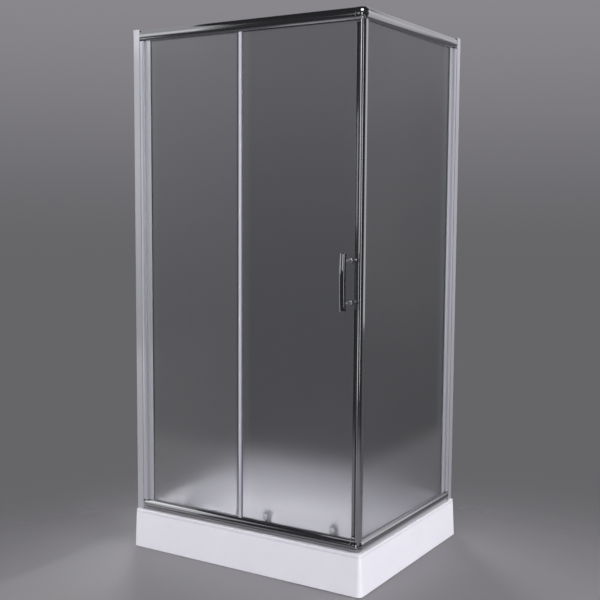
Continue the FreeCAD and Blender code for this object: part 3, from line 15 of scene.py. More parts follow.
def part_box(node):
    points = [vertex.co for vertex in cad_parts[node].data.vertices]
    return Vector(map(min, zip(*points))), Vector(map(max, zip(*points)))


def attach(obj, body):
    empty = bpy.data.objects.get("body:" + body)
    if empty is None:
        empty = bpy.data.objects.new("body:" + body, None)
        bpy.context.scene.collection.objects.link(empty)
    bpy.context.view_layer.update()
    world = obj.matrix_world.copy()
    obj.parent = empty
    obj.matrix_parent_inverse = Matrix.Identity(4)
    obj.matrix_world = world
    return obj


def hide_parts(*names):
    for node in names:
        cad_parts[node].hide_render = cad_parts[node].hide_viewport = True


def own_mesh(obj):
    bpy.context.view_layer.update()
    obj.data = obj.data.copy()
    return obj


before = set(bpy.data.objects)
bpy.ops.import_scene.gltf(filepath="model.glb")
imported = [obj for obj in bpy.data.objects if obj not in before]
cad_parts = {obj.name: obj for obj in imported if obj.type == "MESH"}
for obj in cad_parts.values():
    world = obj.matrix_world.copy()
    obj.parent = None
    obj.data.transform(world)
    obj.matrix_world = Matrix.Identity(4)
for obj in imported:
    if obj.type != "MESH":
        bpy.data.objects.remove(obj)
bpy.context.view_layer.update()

LOG = logging.getLogger("shower_enclosure")
MM = 0.001
MERGE = 0.01 * MM  # corners closer than this become one
FLAT = 0.4  # faces that bend by less than this, in degrees, become one
FAR = 4.0  # edge outside the part, for a band along one edge only
ROUNDED = 50.0  # edges of skinned shapes stay smooth up to this bend, in degrees

Colour = tuple[float, float, float, float]
Point = tuple[float, float, float]
Pair = tuple[float, float]
Ring = list[Point]
Socket = bpy.types.NodeSocket
Piece = bpy.types.Object


class Axis(Enum):
    """Directions that pieces run along."""

    X = (1.0, 0.0, 0.0)
    Y = (0.0, 1.0, 0.0)
    Z = (0.0, 0.0, 1.0)


class Side(Enum):
    """Sides of the door."""

    LEFT = "left"
    RIGHT = "right"


class Relief(Enum):
    """Fine relief of a surface: stretch of its pattern along X, Y and Z, and patterns per metre."""

    POLISHED = ((1.0, 1.0, 1.0), 14.0)
    MOULDED = ((1.0, 1.0, 1.0), 900.0)
    FROSTED = ((1.0, 1.0, 1.0), 2600.0)
    DRAWN_UP = ((1.0, 1.0, 0.0005), 420.0)
    DRAWN_ALONG = ((0.0005, 0.0005, 1.0), 420.0)
    GALVANISED = ((1.0, 1.0, 1.0), 160.0)
    WOVEN_MAT = ((1.0, 1.0, 0.3), 260.0)


def srgb(red: int, green: int, blue: int) -> Colour:
    """Turn a colour of 0 to 255 into opaque linear light."""
    shares = (red / 255, green / 255, blue / 255)
    return (*(c / 12.92 if c <= 0.04045 else ((c + 0.055) / 1.055) ** 2.4 for c in shares), 1.0)


class Graph:
    """Shorthand for wiring one node tree."""

    def __init__(self, tree: bpy.types.NodeTree) -> None:
        """Keep the tree that is wired."""
        self.tree = tree

    def add(self, kind: str, inputs: dict[str | int, object] | None = None, **settings: object) -> bpy.types.Node:
        """Add a node.

        Args:
            kind: Node type without its ShaderNode prefix.
            inputs: Value of each input that is set, or the socket that feeds it.
            **settings: Properties of the node.

        Returns:
            The new node.
        """
        node = self.tree.nodes.new("ShaderNode" + kind)
        for key, value in settings.items():
            setattr(node, key, value)
        for key, value in (inputs or {}).items():
            self.feed(node.inputs[key], value)
        return node

    def feed(self, target: Socket, value: object) -> None:
        """Set an input, or link it to the socket that feeds it.

        Args:
            target: The input.
            value: Its value or its source.
        """
        if isinstance(value, Socket):
            self.tree.links.new(value, target)
        else:
            target.default_value = value

    def math(self, operation: str, first: Socket | float, second: Socket, clamp: bool = False) -> Socket:
        """Reckon with two values, and keep the result between 0 and 1 if it is clamped."""
        return self.add("Math", {0: first, 1: second}, operation=operation, use_clamp=clamp).outputs["Value"]

    def ramp(self, value: Socket, span: Pair) -> Socket:
        """Rise smoothly from 0 to 1 over a span of a value."""
        inputs = {"Value": value, "From Min": span[0], "From Max": span[1]}
        return self.add("MapRange", inputs, interpolation_type="SMOOTHSTEP").outputs["Result"]

    def blend(self, factor: Socket, first: Socket | Colour, second: Colour) -> Socket:
        """Mix two colours."""
        return self.add("Mix", {0: factor, 6: first, 7: second}, data_type="RGBA").outputs[2]


class SurfaceGroups:
    """Shader node groups that the finishes share, each built once."""

    pattern_inputs = {"Scale": "NodeSocketFloat", "Stretch": "NodeSocketVector"}
    margin_inputs = {"Across": "NodeSocketVector", **dict.fromkeys(("Low", "High", "Width"), "NodeSocketFloat")}

    @classmethod
    @cache
    def wiped(cls) -> bpy.types.NodeTree:
        """Cloudy mask of a wiped surface.

        Returns:
            A group with Scale and Stretch inputs and a Mask output.
        """
        graph = cls._start("Wiped", cls.pattern_inputs, "Mask")
        cloud = cls._noise(graph, {"Detail": 5.0, "Roughness": 0.62, "Distortion": 0.35})
        spread = graph.add("MapRange", {"Value": cloud, "From Min": 0.32, "From Max": 0.68})
        return cls._close(graph, spread.outputs["Result"])

    @classmethod
    @cache
    def relief(cls) -> bpy.types.NodeTree:
        """Fine relief of a surface.

        Returns:
            A group with Scale and Stretch inputs and a Height output.
        """
        graph = cls._start("Relief", cls.pattern_inputs, "Height")
        return cls._close(graph, cls._noise(graph, {"Detail": 3.0, "Roughness": 0.55}))

    @classmethod
    @cache
    def margin(cls) -> bpy.types.NodeTree:
        """Mask of a band along two opposite edges.

        Returns:
            A group with Across, Low, High and Width inputs and a Mask output.
        """
        graph = cls._start("Margin", cls.margin_inputs, "Mask")
        given = graph.tree.nodes["In"].outputs
        spot = graph.add("TexCoord").outputs["Object"]
        across = graph.add("VectorMath", {0: spot, 1: given["Across"]}, operation="DOT_PRODUCT").outputs["Value"]
        from_low = graph.math("SUBTRACT", across, given["Low"])
        from_high = graph.math("SUBTRACT", given["High"], across)
        fall = {"From Max": given["Width"], "To Min": 1.0, "To Max": 0.0}
        nearest = graph.math("MINIMUM", from_low, from_high)
        band = graph.add("MapRange", {"Value": nearest, **fall}, interpolation_type="SMOOTHERSTEP")
        return cls._close(graph, band.outputs["Result"])

    @staticmethod
    def _start(name: str, inputs: dict[str, str], output: str) -> Graph:
        """Make an empty group with its sockets.

        Args:
            name: Name of the group.
            inputs: Socket type of each input.
            output: Name of the value that it puts out.

        Returns:
            The group's graph.
        """
        tree = bpy.data.node_groups.new(name, "ShaderNodeTree")
        for label, kind in inputs.items():
            tree.interface.new_socket(label, in_out="INPUT", socket_type=kind)
        tree.interface.new_socket(output, in_out="OUTPUT", socket_type="NodeSocketFloat")
        tree.nodes.new("NodeGroupInput").name = "In"
        tree.nodes.new("NodeGroupOutput").name = "Out"
        return Graph(tree)

    @staticmethod
    def _noise(graph: Graph, values: dict[str, float]) -> Socket:
        """Noise on the object's coordinates, stretched and scaled by the group's inputs.

        Args:
            graph: The group's graph.
            values: Settings of the noise.

        Returns:
            The noise.
        """
        given = graph.tree.nodes["In"].outputs
        spot = graph.add("TexCoord").outputs["Object"]
        place = graph.add("VectorMath", {0: spot, 1: given["Stretch"]}, operation="MULTIPLY").outputs["Vector"]
        return graph.add("TexNoise", {"Vector": place, "Scale": given["Scale"], **values}).outputs["Fac"]

    @staticmethod
    def _close(graph: Graph, value: Socket) -> bpy.types.NodeTree:
        """Put a value out of a group and give the group."""
        graph.feed(graph.tree.nodes["Out"].inputs[0], value)
        return graph.tree


@dataclass(frozen=True)
class Margin:
    """Painted band, paler or darker than the finish, along two opposite edges of a piece: the way across it, both
    edges, width and colour.
    """

    across: Axis
    low: float
    high: float
    width: float
    colour: Colour


@dataclass(frozen=True)
class Finish:
    """Look of one of the record's slots: colours, gloss and how both vary over the surface."""

    slot: str
    colour: Colour
    shade: Colour
    gloss: Pair
    variant: str = ""
    metallic: float = 0.0
    relief: Relief = Relief.MOULDED
    bump: float = 0.1
    depth: float = 0.0002
    cloud: float = 5.0
    stretch: Point = (1.0, 1.0, 1.0)
    coat: float = 0.0
    transmission: float = 0.0
    ior: float = 1.5
    margins: tuple[Margin, ...] = ()

    @property
    def name(self) -> str:
        """Name of the finish: that of its variant, or else its slot's."""
        return self.variant or self.slot

    def material(self) -> bpy.types.Material:
        """Give the finish's material, making it the first time.

        Returns:
            The material.
        """
        name = "finish_" + self.name
        found = bpy.data.materials.get(name)
        if found:
            return found
        material = bpy.data.materials.new(name)
        material.use_nodes = True
        graph = Graph(material.node_tree)
        pattern = {"Scale": self.cloud, "Stretch": self.stretch}
        mask = graph.add("Group", pattern, node_tree=SurfaceGroups.wiped()).outputs["Mask"]
        gloss = graph.add("MapRange", {"Value": mask, "To Min": self.gloss[0], "To Max": self.gloss[1]})
        looks = {
            "Base Color": self._banded(graph, graph.blend(mask, self.colour, self.shade)),
            "Roughness": gloss.outputs["Result"],
            "Normal": self._bump(graph),
            "Metallic": self.metallic,
            "Coat Weight": self.coat,
            "Transmission Weight": self.transmission,
            "IOR": self.ior,
        }
        shader = material.node_tree.nodes["Principled BSDF"]
        for key, value in looks.items():
            graph.feed(shader.inputs[key], value)
        material.diffuse_color = self.colour
        return material

    def _banded(self, graph: Graph, colour: Socket) -> Socket:
        """Lay the painted bands of light and shade along a piece's edges over its colour.

        Args:
            graph: The material's graph.
            colour: The colour without the bands.

        Returns:
            The colour with the bands.
        """
        for margin in self.margins:
            reach = {"Across": margin.across.value, "Low": margin.low, "High": margin.high, "Width": margin.width}
            band = graph.add("Group", reach, node_tree=SurfaceGroups.margin())
            colour = graph.blend(band.outputs["Mask"], colour, margin.colour)
        return colour

    def _bump(self, graph: Graph) -> Socket:
        """Place the relief group and turn its height into a normal.

        Args:
            graph: The material's graph.

        Returns:
            The normal.
        """
        stretch, scale = self.relief.value
        relief = graph.add("Group", {"Scale": scale, "Stretch": stretch}, node_tree=SurfaceGroups.relief())
        depth = {"Strength": self.bump, "Distance": self.depth}
        return graph.add("Bump", {"Height": relief.outputs["Height"], **depth}).outputs["Normal"]


ACRYLIC = Finish(
    "white_acrylic", srgb(235, 233, 241), srgb(231, 229, 239), (0.16, 0.24),
    relief=Relief.POLISHED, bump=0.06, depth=0.002, coat=0.1,
)
BOARD = Finish(
    "bonded_board", srgb(196, 178, 140), srgb(170, 150, 112), (0.55, 0.8),
    relief=Relief.WOVEN_MAT, bump=0.5, depth=0.001, cloud=30.0,
)
ZINC = Finish(
    "zinc_steel", srgb(176, 178, 180), srgb(150, 152, 156), (0.28, 0.46), metallic=1.0,
    relief=Relief.GALVANISED, bump=0.15, depth=0.0004, cloud=60.0,
)
BLACK_PLASTIC = Finish(
    "black_plastic", srgb(30, 30, 32), srgb(42, 42, 44), (0.42, 0.6), bump=0.2, cloud=30.0,
)
WHITE_PLASTIC = Finish(
    "white_plastic", srgb(228, 227, 230), srgb(220, 219, 222), (0.3, 0.42), bump=0.12, cloud=20.0,
)
RUBBER = Finish(
    "black_rubber", srgb(26, 26, 27), srgb(38, 38, 38), (0.62, 0.8), bump=0.3, cloud=40.0,
)
CHROME = Finish(
    "chrome", srgb(206, 207, 210), srgb(196, 197, 201), (0.04, 0.09), metallic=1.0,
    relief=Relief.POLISHED, bump=0.02, depth=0.001, cloud=18.0,
)
SATIN_CHROME = replace(
    CHROME, variant="satin_chrome", colour=srgb(222, 222, 225), shade=srgb(210, 210, 214), gloss=(0.28, 0.36),
)
SATIN_KNOB = replace(SATIN_CHROME, variant="satin_knob", metallic=0.5)
POLISHED_UPRIGHT = Finish(
    "bright_aluminium", srgb(204, 205, 208), srgb(192, 193, 197), (0.07, 0.13), "polished_upright", metallic=1.0,
    relief=Relief.DRAWN_UP, bump=0.03, depth=0.0001, stretch=(4.0, 4.0, 0.3),
)
POLISHED_LEVEL = replace(
    POLISHED_UPRIGHT, variant="polished_level",
    relief=Relief.DRAWN_ALONG, bump=0.012, stretch=(0.3, 0.3, 4.0),
)
# Painted reflection: a darker band along the lower edge of the bottom rails and the bottom corner piece stands in for
# the darker surroundings that they reflect.
SILL_PAINTED_REFLECTION = Margin(Axis.Z, 0.165, FAR, 0.008, srgb(148, 147, 148))
POLISHED_SILL_PAINTED = replace(POLISHED_LEVEL, variant="polished_sill_painted", margins=(SILL_PAINTED_REFLECTION,))
CHROME_SILL_PAINTED = replace(CHROME, variant="chrome_sill_painted", margins=(SILL_PAINTED_REFLECTION,))
SATIN_UPRIGHT = replace(
    POLISHED_UPRIGHT, variant="satin_upright", colour=srgb(202, 202, 210), shade=srgb(195, 195, 204),
    gloss=(0.28, 0.34), metallic=0.55, bump=0.05,
)
GLASS = Finish(
    "frosted_glass", srgb(190, 192, 195), srgb(185, 188, 191), (0.28, 0.31),
    relief=Relief.FROSTED, bump=0.08, cloud=2.2, transmission=1.0, ior=1.46,
)
# Painted glow: paler, greener bands near the panes' upright edges stand in for light scattered into the frosted glass
# from the lit profiles beside them.
PAINTED_EDGE_GLOW = srgb(216, 225, 224)
FAINT_PAINTED_EDGE_GLOW = srgb(204, 209, 209)
# Painted glow: the panes turn almost clear below tray height, so that the lit tray shows brighter through the frosted
# glass.
PAINTED_TRAY_GLOW = Margin(Axis.Z, 0.38, FAR, 0.14, srgb(247, 248, 249))
# Painted light: the fixed pane is a paler copy of the same frosted glass as the side and door panes.
GLASS_FIXED = replace(
    GLASS, variant="frosted_glass_fixed", colour=srgb(217, 219, 221), shade=srgb(212, 214, 217),
    margins=(Margin(Axis.X, -0.43, FAR, 0.05, PAINTED_EDGE_GLOW), PAINTED_TRAY_GLOW),
)
GLASS_SIDE = replace(
    GLASS, variant="frosted_glass_side", margins=(Margin(Axis.Y, -FAR, 0.33, 0.08, PAINTED_EDGE_GLOW), PAINTED_TRAY_GLOW),
)
GLASS_DOOR = replace(
    GLASS, variant="frosted_glass_door", margins=(Margin(Axis.X, -0.01, FAR, 0.03, FAINT_PAINTED_EDGE_GLOW), PAINTED_TRAY_GLOW),
)
GASKET = Finish(
    "clear_gasket", srgb(190, 192, 196), srgb(178, 180, 186), (0.3, 0.45), cloud=12.0, transmission=0.35,
)
SEAL = Finish(
    "clear_seal", srgb(206, 203, 216), srgb(196, 193, 208), (0.28, 0.42),
    cloud=9.0, stretch=(3.0, 3.0, 0.5), transmission=0.3,
)
# Painted highlight and painted shade on the meeting seal: a paler colour with darker bands along both edges stands in
# for the light and shade on a rounded profile.
SEAL_PAINTED_HIGHLIGHT = replace(SEAL, variant="seal_painted_highlight", colour=srgb(236, 233, 246), shade=srgb(228, 225, 240))
SEAL_PAINTED_SHADE = srgb(156, 154, 168)
MAGNET = Finish(
    "magnet_strip", srgb(34, 34, 36), srgb(46, 46, 49), (0.4, 0.55), bump=0.15, cloud=16.0,
)
NYLON = Finish(
    "white_nylon", srgb(226, 225, 220), srgb(212, 210, 204), (0.32, 0.48), bump=0.15, cloud=50.0,
)
GREY_PLASTIC = Finish(
    "grey_plastic", srgb(246, 247, 249), srgb(238, 239, 242), (0.28, 0.34),
    cloud=40.0, transmission=0.9, ior=1.2,
)
SPRING = Finish(
    "spring_steel", srgb(150, 150, 150), srgb(120, 119, 118), (0.28, 0.4), metallic=1.0,
    relief=Relief.GALVANISED, cloud=120.0,
)


def dress(finish: Finish, *nodes: str) -> None:
    """Give solids that stay in view a finish.

    Args:
        finish: The finish.
        *nodes: Names of the solids.
    """
    for name in nodes:
        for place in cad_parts[name].material_slots:
            place.material = finish.material()
        LOG.info("dressed %s with %s", name, finish.name)


class Bench:
    """Modelling steps that the sub-assemblies share."""

    @staticmethod
    def clear() -> None:
        """Leave edit mode and deselect everything."""
        if bpy.context.object and bpy.context.object.mode != "OBJECT":
            bpy.ops.object.mode_set(mode="OBJECT")
        bpy.ops.object.select_all(action="DESELECT")

    @staticmethod
    def pick(piece: Piece) -> None:
        """Make a piece the only one that is selected."""
        Bench.clear()
        bpy.context.view_layer.objects.active = piece
        piece.select_set(True)

    @staticmethod
    def named(name: str) -> Piece:
        """Name the piece that was just added.

        Args:
            name: Name of the piece.

        Returns:
            The piece.
        """
        piece = bpy.context.active_object
        piece.name = name
        piece.data.name = name
        return piece

    @staticmethod
    @contextmanager
    def editing(piece: Piece) -> Iterator[None]:
        """Work on a piece in edit mode, and leave it after.

        Args:
            piece: The piece to work on.

        Yields:
            Nothing.
        """
        Bench.pick(piece)
        bpy.ops.object.mode_set(mode="EDIT")
        yield
        bpy.ops.object.mode_set(mode="OBJECT")

    @staticmethod
    def close(piece: Piece) -> None:
        """Merge seams, fill open ends and turn the faces outwards.

        Args:
            piece: The piece.
        """
        with Bench.editing(piece):
            bpy.ops.mesh.select_all(action="SELECT")
            bpy.ops.mesh.remove_doubles(threshold=MERGE)
            bpy.ops.mesh.delete_loose()
            bpy.ops.mesh.select_all(action="SELECT")
            bpy.ops.mesh.fill_holes(sides=0)
            bpy.ops.mesh.normals_make_consistent(inside=False)

    @staticmethod
    def skin(name: str, rows: Sequence[Sequence[Point]]) -> Piece:
        """Lay a grid through rows of points and close it.

        Args:
            name: Name of the piece.
            rows: Closed rings of points, each as long as the next.

        Returns:
            The closed piece.
        """
        Bench.clear()
        bpy.ops.mesh.primitive_grid_add(x_subdivisions=len(rows[0]), y_subdivisions=len(rows) - 1, size=1.0)
        piece = Bench.named(name)
        places = [spot for row in rows for spot in (*row, row[0])]
        for vertex, spot in zip(piece.data.vertices, places):
            vertex.co = spot
        Bench.close(piece)
        return piece

    @staticmethod
    def turned(name: str, profile: Sequence[Pair], places: Sequence[Point], axis: Axis, steps: int) -> Piece:
        """Spin a profile once, copy it to its other places and join the copies.

        Args:
            name: Name of the part.
            profile: Corners as distance from the axis and distance along it.
            places: Points on the axes where the distance along them is zero.
            axis: Direction of the axes.
            steps: Steps round the turn.

        Returns:
            The part.
        """
        centre, along = Vector(places[0]), Vector(axis.value)
        out = Vector(Axis.X.value if axis is not Axis.X else Axis.Z.value)
        Bench.clear()
        bpy.ops.mesh.primitive_circle_add(vertices=len(profile), radius=1.0, fill_type="NOTHING")
        first = Bench.named(name)
        for vertex, (radius, height) in zip(first.data.vertices, profile):
            vertex.co = centre + out * radius + along * height
        with Bench.editing(first):
            bpy.ops.mesh.select_all(action="SELECT")
            bpy.ops.mesh.spin(steps=steps, angle=math.tau, center=centre, axis=along)
        Bench.close(first)
        pieces = [first]
        for place in places[1:]:
            twin = bpy.data.objects.new(name, first.data.copy())
            twin.data.transform(Matrix.Translation(Vector(place) - centre))
            bpy.context.collection.objects.link(twin)
            pieces.append(twin)
        return Bench.join(name, pieces)

    @staticmethod
    def copied(node: str) -> Piece:
        """Copy a solid and merge its triangles into whole faces.

        Args:
            node: Name of the solid.

        Returns:
            The copy.
        """
        Bench.clear()
        piece = bpy.data.objects.new(node + "_finished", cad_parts[node].data.copy())
        bpy.context.collection.objects.link(piece)
        with Bench.editing(piece):
            bpy.ops.mesh.select_all(action="SELECT")
            bpy.ops.mesh.customdata_custom_splitnormals_clear()
            bpy.ops.mesh.remove_doubles(threshold=MERGE)
            bpy.ops.mesh.dissolve_limited(angle_limit=math.radians(FLAT))
        return piece

    @staticmethod
    def shift(piece: Piece, chosen: Callable[[Vector], bool], move: Point) -> None:
        """Move the corners of a piece that a test picks by their place.

        Args:
            piece: The piece.
            chosen: The test.
            move: How far they move.
        """
        for part in (*piece.data.polygons, *piece.data.edges):
            part.select = False
        for vertex in piece.data.vertices:
            vertex.select = chosen(vertex.co)
        bpy.context.tool_settings.mesh_select_mode = (True, False, False)
        with Bench.editing(piece):
            bpy.ops.transform.translate(value=move)

    @staticmethod
    def refine(finish: Finish, body: str, width: float, *nodes: str) -> None:
        """Copy solids, round their edges and hand them over.

        Args:
            finish: Their finish.
            body: The body that they ride on.
            width: Width of the rounding.
            *nodes: Names of the solids.
        """
        for node in nodes:
            piece = Bench.copied(node)
            Bench.soften(piece, width)
            Bench.finish(piece, finish, body, node)

    @staticmethod
    def soften(piece: Piece, width: float, segments: int = 2, angle: float = 30.0) -> None:
        """Round the edges of a piece that are sharper than an angle in degrees."""
        Bench.apply(
            piece, "BEVEL", width=width, segments=segments, limit_method="ANGLE", angle_limit=math.radians(angle),
            use_clamp_overlap=True, miter_outer="MITER_ARC",
        )

    @staticmethod
    def apply(piece: Piece, kind: str, **settings: object) -> None:
        """Add a modifier and apply it.

        Args:
            piece: The piece.
            kind: Type of the modifier.
            **settings: Its settings.
        """
        Bench.pick(piece)
        step = piece.modifiers.new(kind.lower(), kind)
        for key, value in settings.items():
            setattr(step, key, value)
        bpy.ops.object.modifier_apply(modifier=step.name)

    @staticmethod
    def join(name: str, pieces: Sequence[Piece]) -> Piece:
        """Join pieces that make one part.

        Args:
            name: Name of the part.
            pieces: The pieces.

        Returns:
            The part.
        """
        Bench.clear()
        for piece in pieces:
            piece.select_set(True)
        bpy.context.view_layer.objects.active = pieces[0]
        bpy.ops.object.join()
        return Bench.named(name)

    @staticmethod
    def finish(piece: Piece, finish: Finish, body: str, node: str, angle: float = 35.0) -> None:
        """Smooth, dress and hand over a finished piece.

        Args:
            piece: The piece.
            finish: Its finish.
            body: The body that it rides on.
            node: The solid that it stands for.
            angle: Edges sharper than this stay sharp, in degrees.
        """
        Bench.pick(piece)
        bpy.ops.object.shade_smooth_by_angle(angle=math.radians(angle))
        Bench.apply(piece, "WEIGHTED_NORMAL", keep_sharp=True)
        piece.data.materials.clear()
        piece.data.materials.append(finish.material())
        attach(piece, body)
        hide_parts(node)
        LOG.info("built %s for %s with %d faces", piece.name, node, len(piece.data.polygons))


def arc(centre: Pair, radius: float, start: float, end: float, steps: int) -> list[Pair]:
    """Points of an arc about a centre, both ends included, with its angles in degrees."""
    turns = [math.radians(start + (end - start) * step / steps) for step in range(steps + 1)]
    return [(centre[0] + radius * math.cos(turn), centre[1] + radius * math.sin(turn)) for turn in turns]


def dome(shares: Sequence[Pair], radius: float, height: float) -> list[Pair]:
    """Profile of a domed cap, from its shares of the radius and the height."""
    return [(radius * out, height * up) for out, up in shares]


@dataclass
class Tray:
    """Formed acrylic tray with its loose apron, and the board bonded under it."""

    rim: float = 66 * MM
    lip: float = 12 * MM
    lip_round: float = 1.25 * MM
    wall: float = 5 * MM
    wall_bend: float = 1 * MM
    open_corner: float = 12 * MM
    wall_corner: float = 2 * MM
    least_corner: float = 0.5 * MM
    rim_round: float = 1.6 * MM
    rim_steps: int = 5
    mouth_corner: float = 60 * MM
    mouth_round: float = 9 * MM
    mouth_steps: int = 6
    foot_round: float = 18 * MM
    foot_steps: int = 7
    depth: float = 50 * MM
    draft: float = 12 * MM
    seat_side: float = 130 * MM
    seat_corner: float = 40 * MM
    seat_drop: float = 7 * MM
    seat_floor: float = 5 * MM
    seat_round: float = 2 * MM
    drain_hole: float = 46 * MM
    skirt_wall: float = 4 * MM
    skirt_flare: float = 8 * MM
    skirt_foot: float = 2 * MM
    skirt_joint: float = 0.3 * MM
    skirt_round: float = 0.5 * MM
    hook_inset: float = 5.3 * MM
    hook_rise: float = 7.4 * MM
    hook_step: float = 0.25 * MM
    clip_round: float = 0.8 * MM
    corner_steps: int = 10

    def __post_init__(self) -> None:
        """Read the outline from the frame, and work out the lean of the basin's wall."""
        self.low, self.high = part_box("tray_shell")
        low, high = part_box("drain_flange")
        self.drain = ((low.x + high.x) / 2, (low.y + high.y) / 2)
        self.top = self.high.z
        self.slope = self.draft / self.depth
        self.lean = math.degrees(math.atan2(self.draft, self.depth))

    def build(self) -> None:
        """Make the tray, its apron and what is bonded to it."""
        self.shell()
        self.skirt()
        dress(BOARD, "reinforcing_board")
        Bench.refine(WHITE_PLASTIC, "enclosure", self.clip_round, "apron_clips")

    def shell(self) -> None:
        """Form the sheet: lip, rim, basin, drain seat and the same faces underneath."""
        lean = self.lean
        middle = self.top - self.depth + self.foot_round
        mouth = self._bend(self.mouth_round, self.top - self.mouth_round, (90, lean), lean, self.mouth_steps)
        foot = self._bend(self.foot_round, middle, (180 + lean, 270), 180 + lean, self.foot_steps)
        rows = self._outer_rows() + mouth + foot + self._seat_rows() + self._under_rows()
        piece = Bench.skin("tray_basin", [*rows, rows[0]])
        Bench.finish(piece, ACRYLIC, "enclosure", "tray_shell", angle=ROUNDED)

    def skirt(self) -> None:
        """Sweep the apron's section along the two open sides and round the corner between them."""
        radius = self.open_corner
        centre = (self.high.x - radius, self.low.y + radius)
        end = self.hook_inset
        front = [self.low.x, self.low.x + end, self.low.x + end + self.hook_step, centre[0] - radius]
        side = [centre[1] + radius, self.high.y - end - self.hook_step, self.high.y - end, self.high.y]
        stations = [((x, self.low.y), (0.0, -1.0)) for x in front]
        turns = arc((0.0, 0.0), 1.0, -90, 0, self.corner_steps)
        stations += [((centre[0] + radius * x, centre[1] + radius * y), (x, y)) for x, y in turns]
        stations += [((self.high.x, y), (1.0, 0.0)) for y in side]
        rows = []
        for place, ((x, y), (across, deep)) in enumerate(stations):
            hooked = 1 < place < len(stations) - 2
            section = self._skirt_section(hooked)
            rows.append([(x + across * out, y + deep * out, height) for out, height in section])
        piece = Bench.skin("tray_skirt", rows)
        Bench.finish(piece, ACRYLIC, "enclosure", "tray_apron")

    def _skirt_section(self, hooked: bool) -> list[Pair]:
        """Section of the apron as distance out from the rim and height.

        Args:
            hooked: Whether the edge behind the lip stands up here.

        Returns:
            The section's corners in order.
        """
        foot, flare, wall, soft = self.skirt_foot, self.skirt_flare, self.skirt_wall, self.skirt_round
        head = self.top - self.lip - self.skirt_joint
        lean = flare / (head - foot)
        hook = head + self.hook_rise if hooked else head
        ledge = head - wall
        outer, inner = -self.hook_inset, -self.hook_inset - wall
        bend = soft / 3
        return [
            (flare - soft, foot), (flare - bend, foot + bend), (flare, foot + soft),
            (lean * soft, head - soft), (lean * soft - bend, head - bend), (lean * soft - soft, head),
            (outer, head), (outer, hook), (inner, hook), (inner, ledge),
            (lean * wall - wall, ledge), (flare - wall, foot),
        ]

    def _loop(self, low: Pair, high: Pair, height: float, corners: Sequence[float]) -> Ring:
        """Rounded rectangle between two corners.

        Args:
            low: Lowest corner.
            high: Highest corner.
            height: Height of the loop.
            corners: Radii of the front right, back right, back left and front left corner.

        Returns:
            The loop's points.
        """
        signs = ((1, -1, -90), (1, 1, 0), (-1, 1, 90), (-1, -1, 180))
        points: Ring = []
        for (across, deep, start), radius in zip(signs, corners):
            edge = (high[0] if across > 0 else low[0], high[1] if deep > 0 else low[1])
            centre = (edge[0] - across * radius, edge[1] - deep * radius)
            points += [(x, y, height) for x, y in arc(centre, radius, start, start + 90, self.corner_steps)]
        return points

    def _ring(self, inset: float, height: float, corners: Sequence[float]) -> Ring:
        """Rounded rectangle at a distance in from the tray's outline."""
        low, high = self.low, self.high
        return self._loop((low.x + inset, low.y + inset), (high.x - inset, high.y - inset), height, corners)

    def _seat(self, side: float, height: float, corner: float) -> Ring:
        """Rounded square about the drain."""
        (x, y), half = self.drain, side / 2
        return self._loop((x - half, y - half), (x + half, y + half), height, [corner] * 4)

    def _edge_corners(self, inset: float) -> list[float]:
        """Corner radii of the rim at an inset, each at least a hair."""
        plain = max(self.wall_corner - inset, self.least_corner)
        return [max(self.open_corner - inset, self.least_corner), plain, plain, plain]

    def _basin_corners(self, inset: float) -> list[float]:
        """Corner radii of the basin at an inset."""
        return [self.mouth_corner + (self.rim - inset) / 2] * 4

    def _outer_rows(self) -> list[Ring]:
        """Rows of the lip and the rim's rounded edge.

        Returns:
            The rows from the lip's inner face up to the top.
        """
        foot, soft = self.top - self.lip, self.lip_round
        rows = [(self.wall, foot + soft), (self.wall - soft, foot), (soft, foot), (0.0, foot + soft)]
        edge = arc((0.0, self.top - self.rim_round), self.rim_round, 0, 90, self.rim_steps)
        rows += [(self.rim_round - out, height) for out, height in edge]
        return self._rings(rows, self._edge_corners)

    def _rings(self, outline: Sequence[Pair], corners: Callable[[float], list[float]]) -> list[Ring]:
        """Rings inside the tray's outline, one for each inset and height."""
        return [self._ring(inset, height, corners(inset)) for inset, height in outline]

    def _bend(self, radius: float, middle: float, turns: Pair, meet: float, steps: int) -> list[Ring]:
        """Rows of a rounding between the basin's wall and a level.

        Args:
            radius: Its radius.
            middle: Height of its centre.
            turns: First and last angle in degrees.
            meet: Angle at which it meets the wall.
            steps: Steps across it.

        Returns:
            The rows.
        """
        turn = math.radians(meet)
        drop = self.top - middle - radius * math.sin(turn)
        centre = (self.rim + drop * self.slope - radius * math.cos(turn), middle)
        return self._rings(arc(centre, radius, *turns, steps), self._basin_corners)

    def _seat_rows(self) -> list[Ring]:
        """Rows of the drain's seat and hole.

        Returns:
            The rows from the floor to the hole's lower edge.
        """
        floor = self.top - self.depth - self.seat_drop
        soft, hole = self.seat_round, 2 * self.drain_hole
        return [
            self._seat(self.seat_side + 2 * soft, floor + soft / 4, self.seat_corner + soft),
            self._seat(self.seat_side, floor, self.seat_corner),
            self._seat(hole + soft, floor, self.drain_hole + soft / 2),
            self._seat(hole, floor - soft / 2, self.drain_hole),
            self._seat(hole, floor - self.seat_floor, self.drain_hole),
        ]

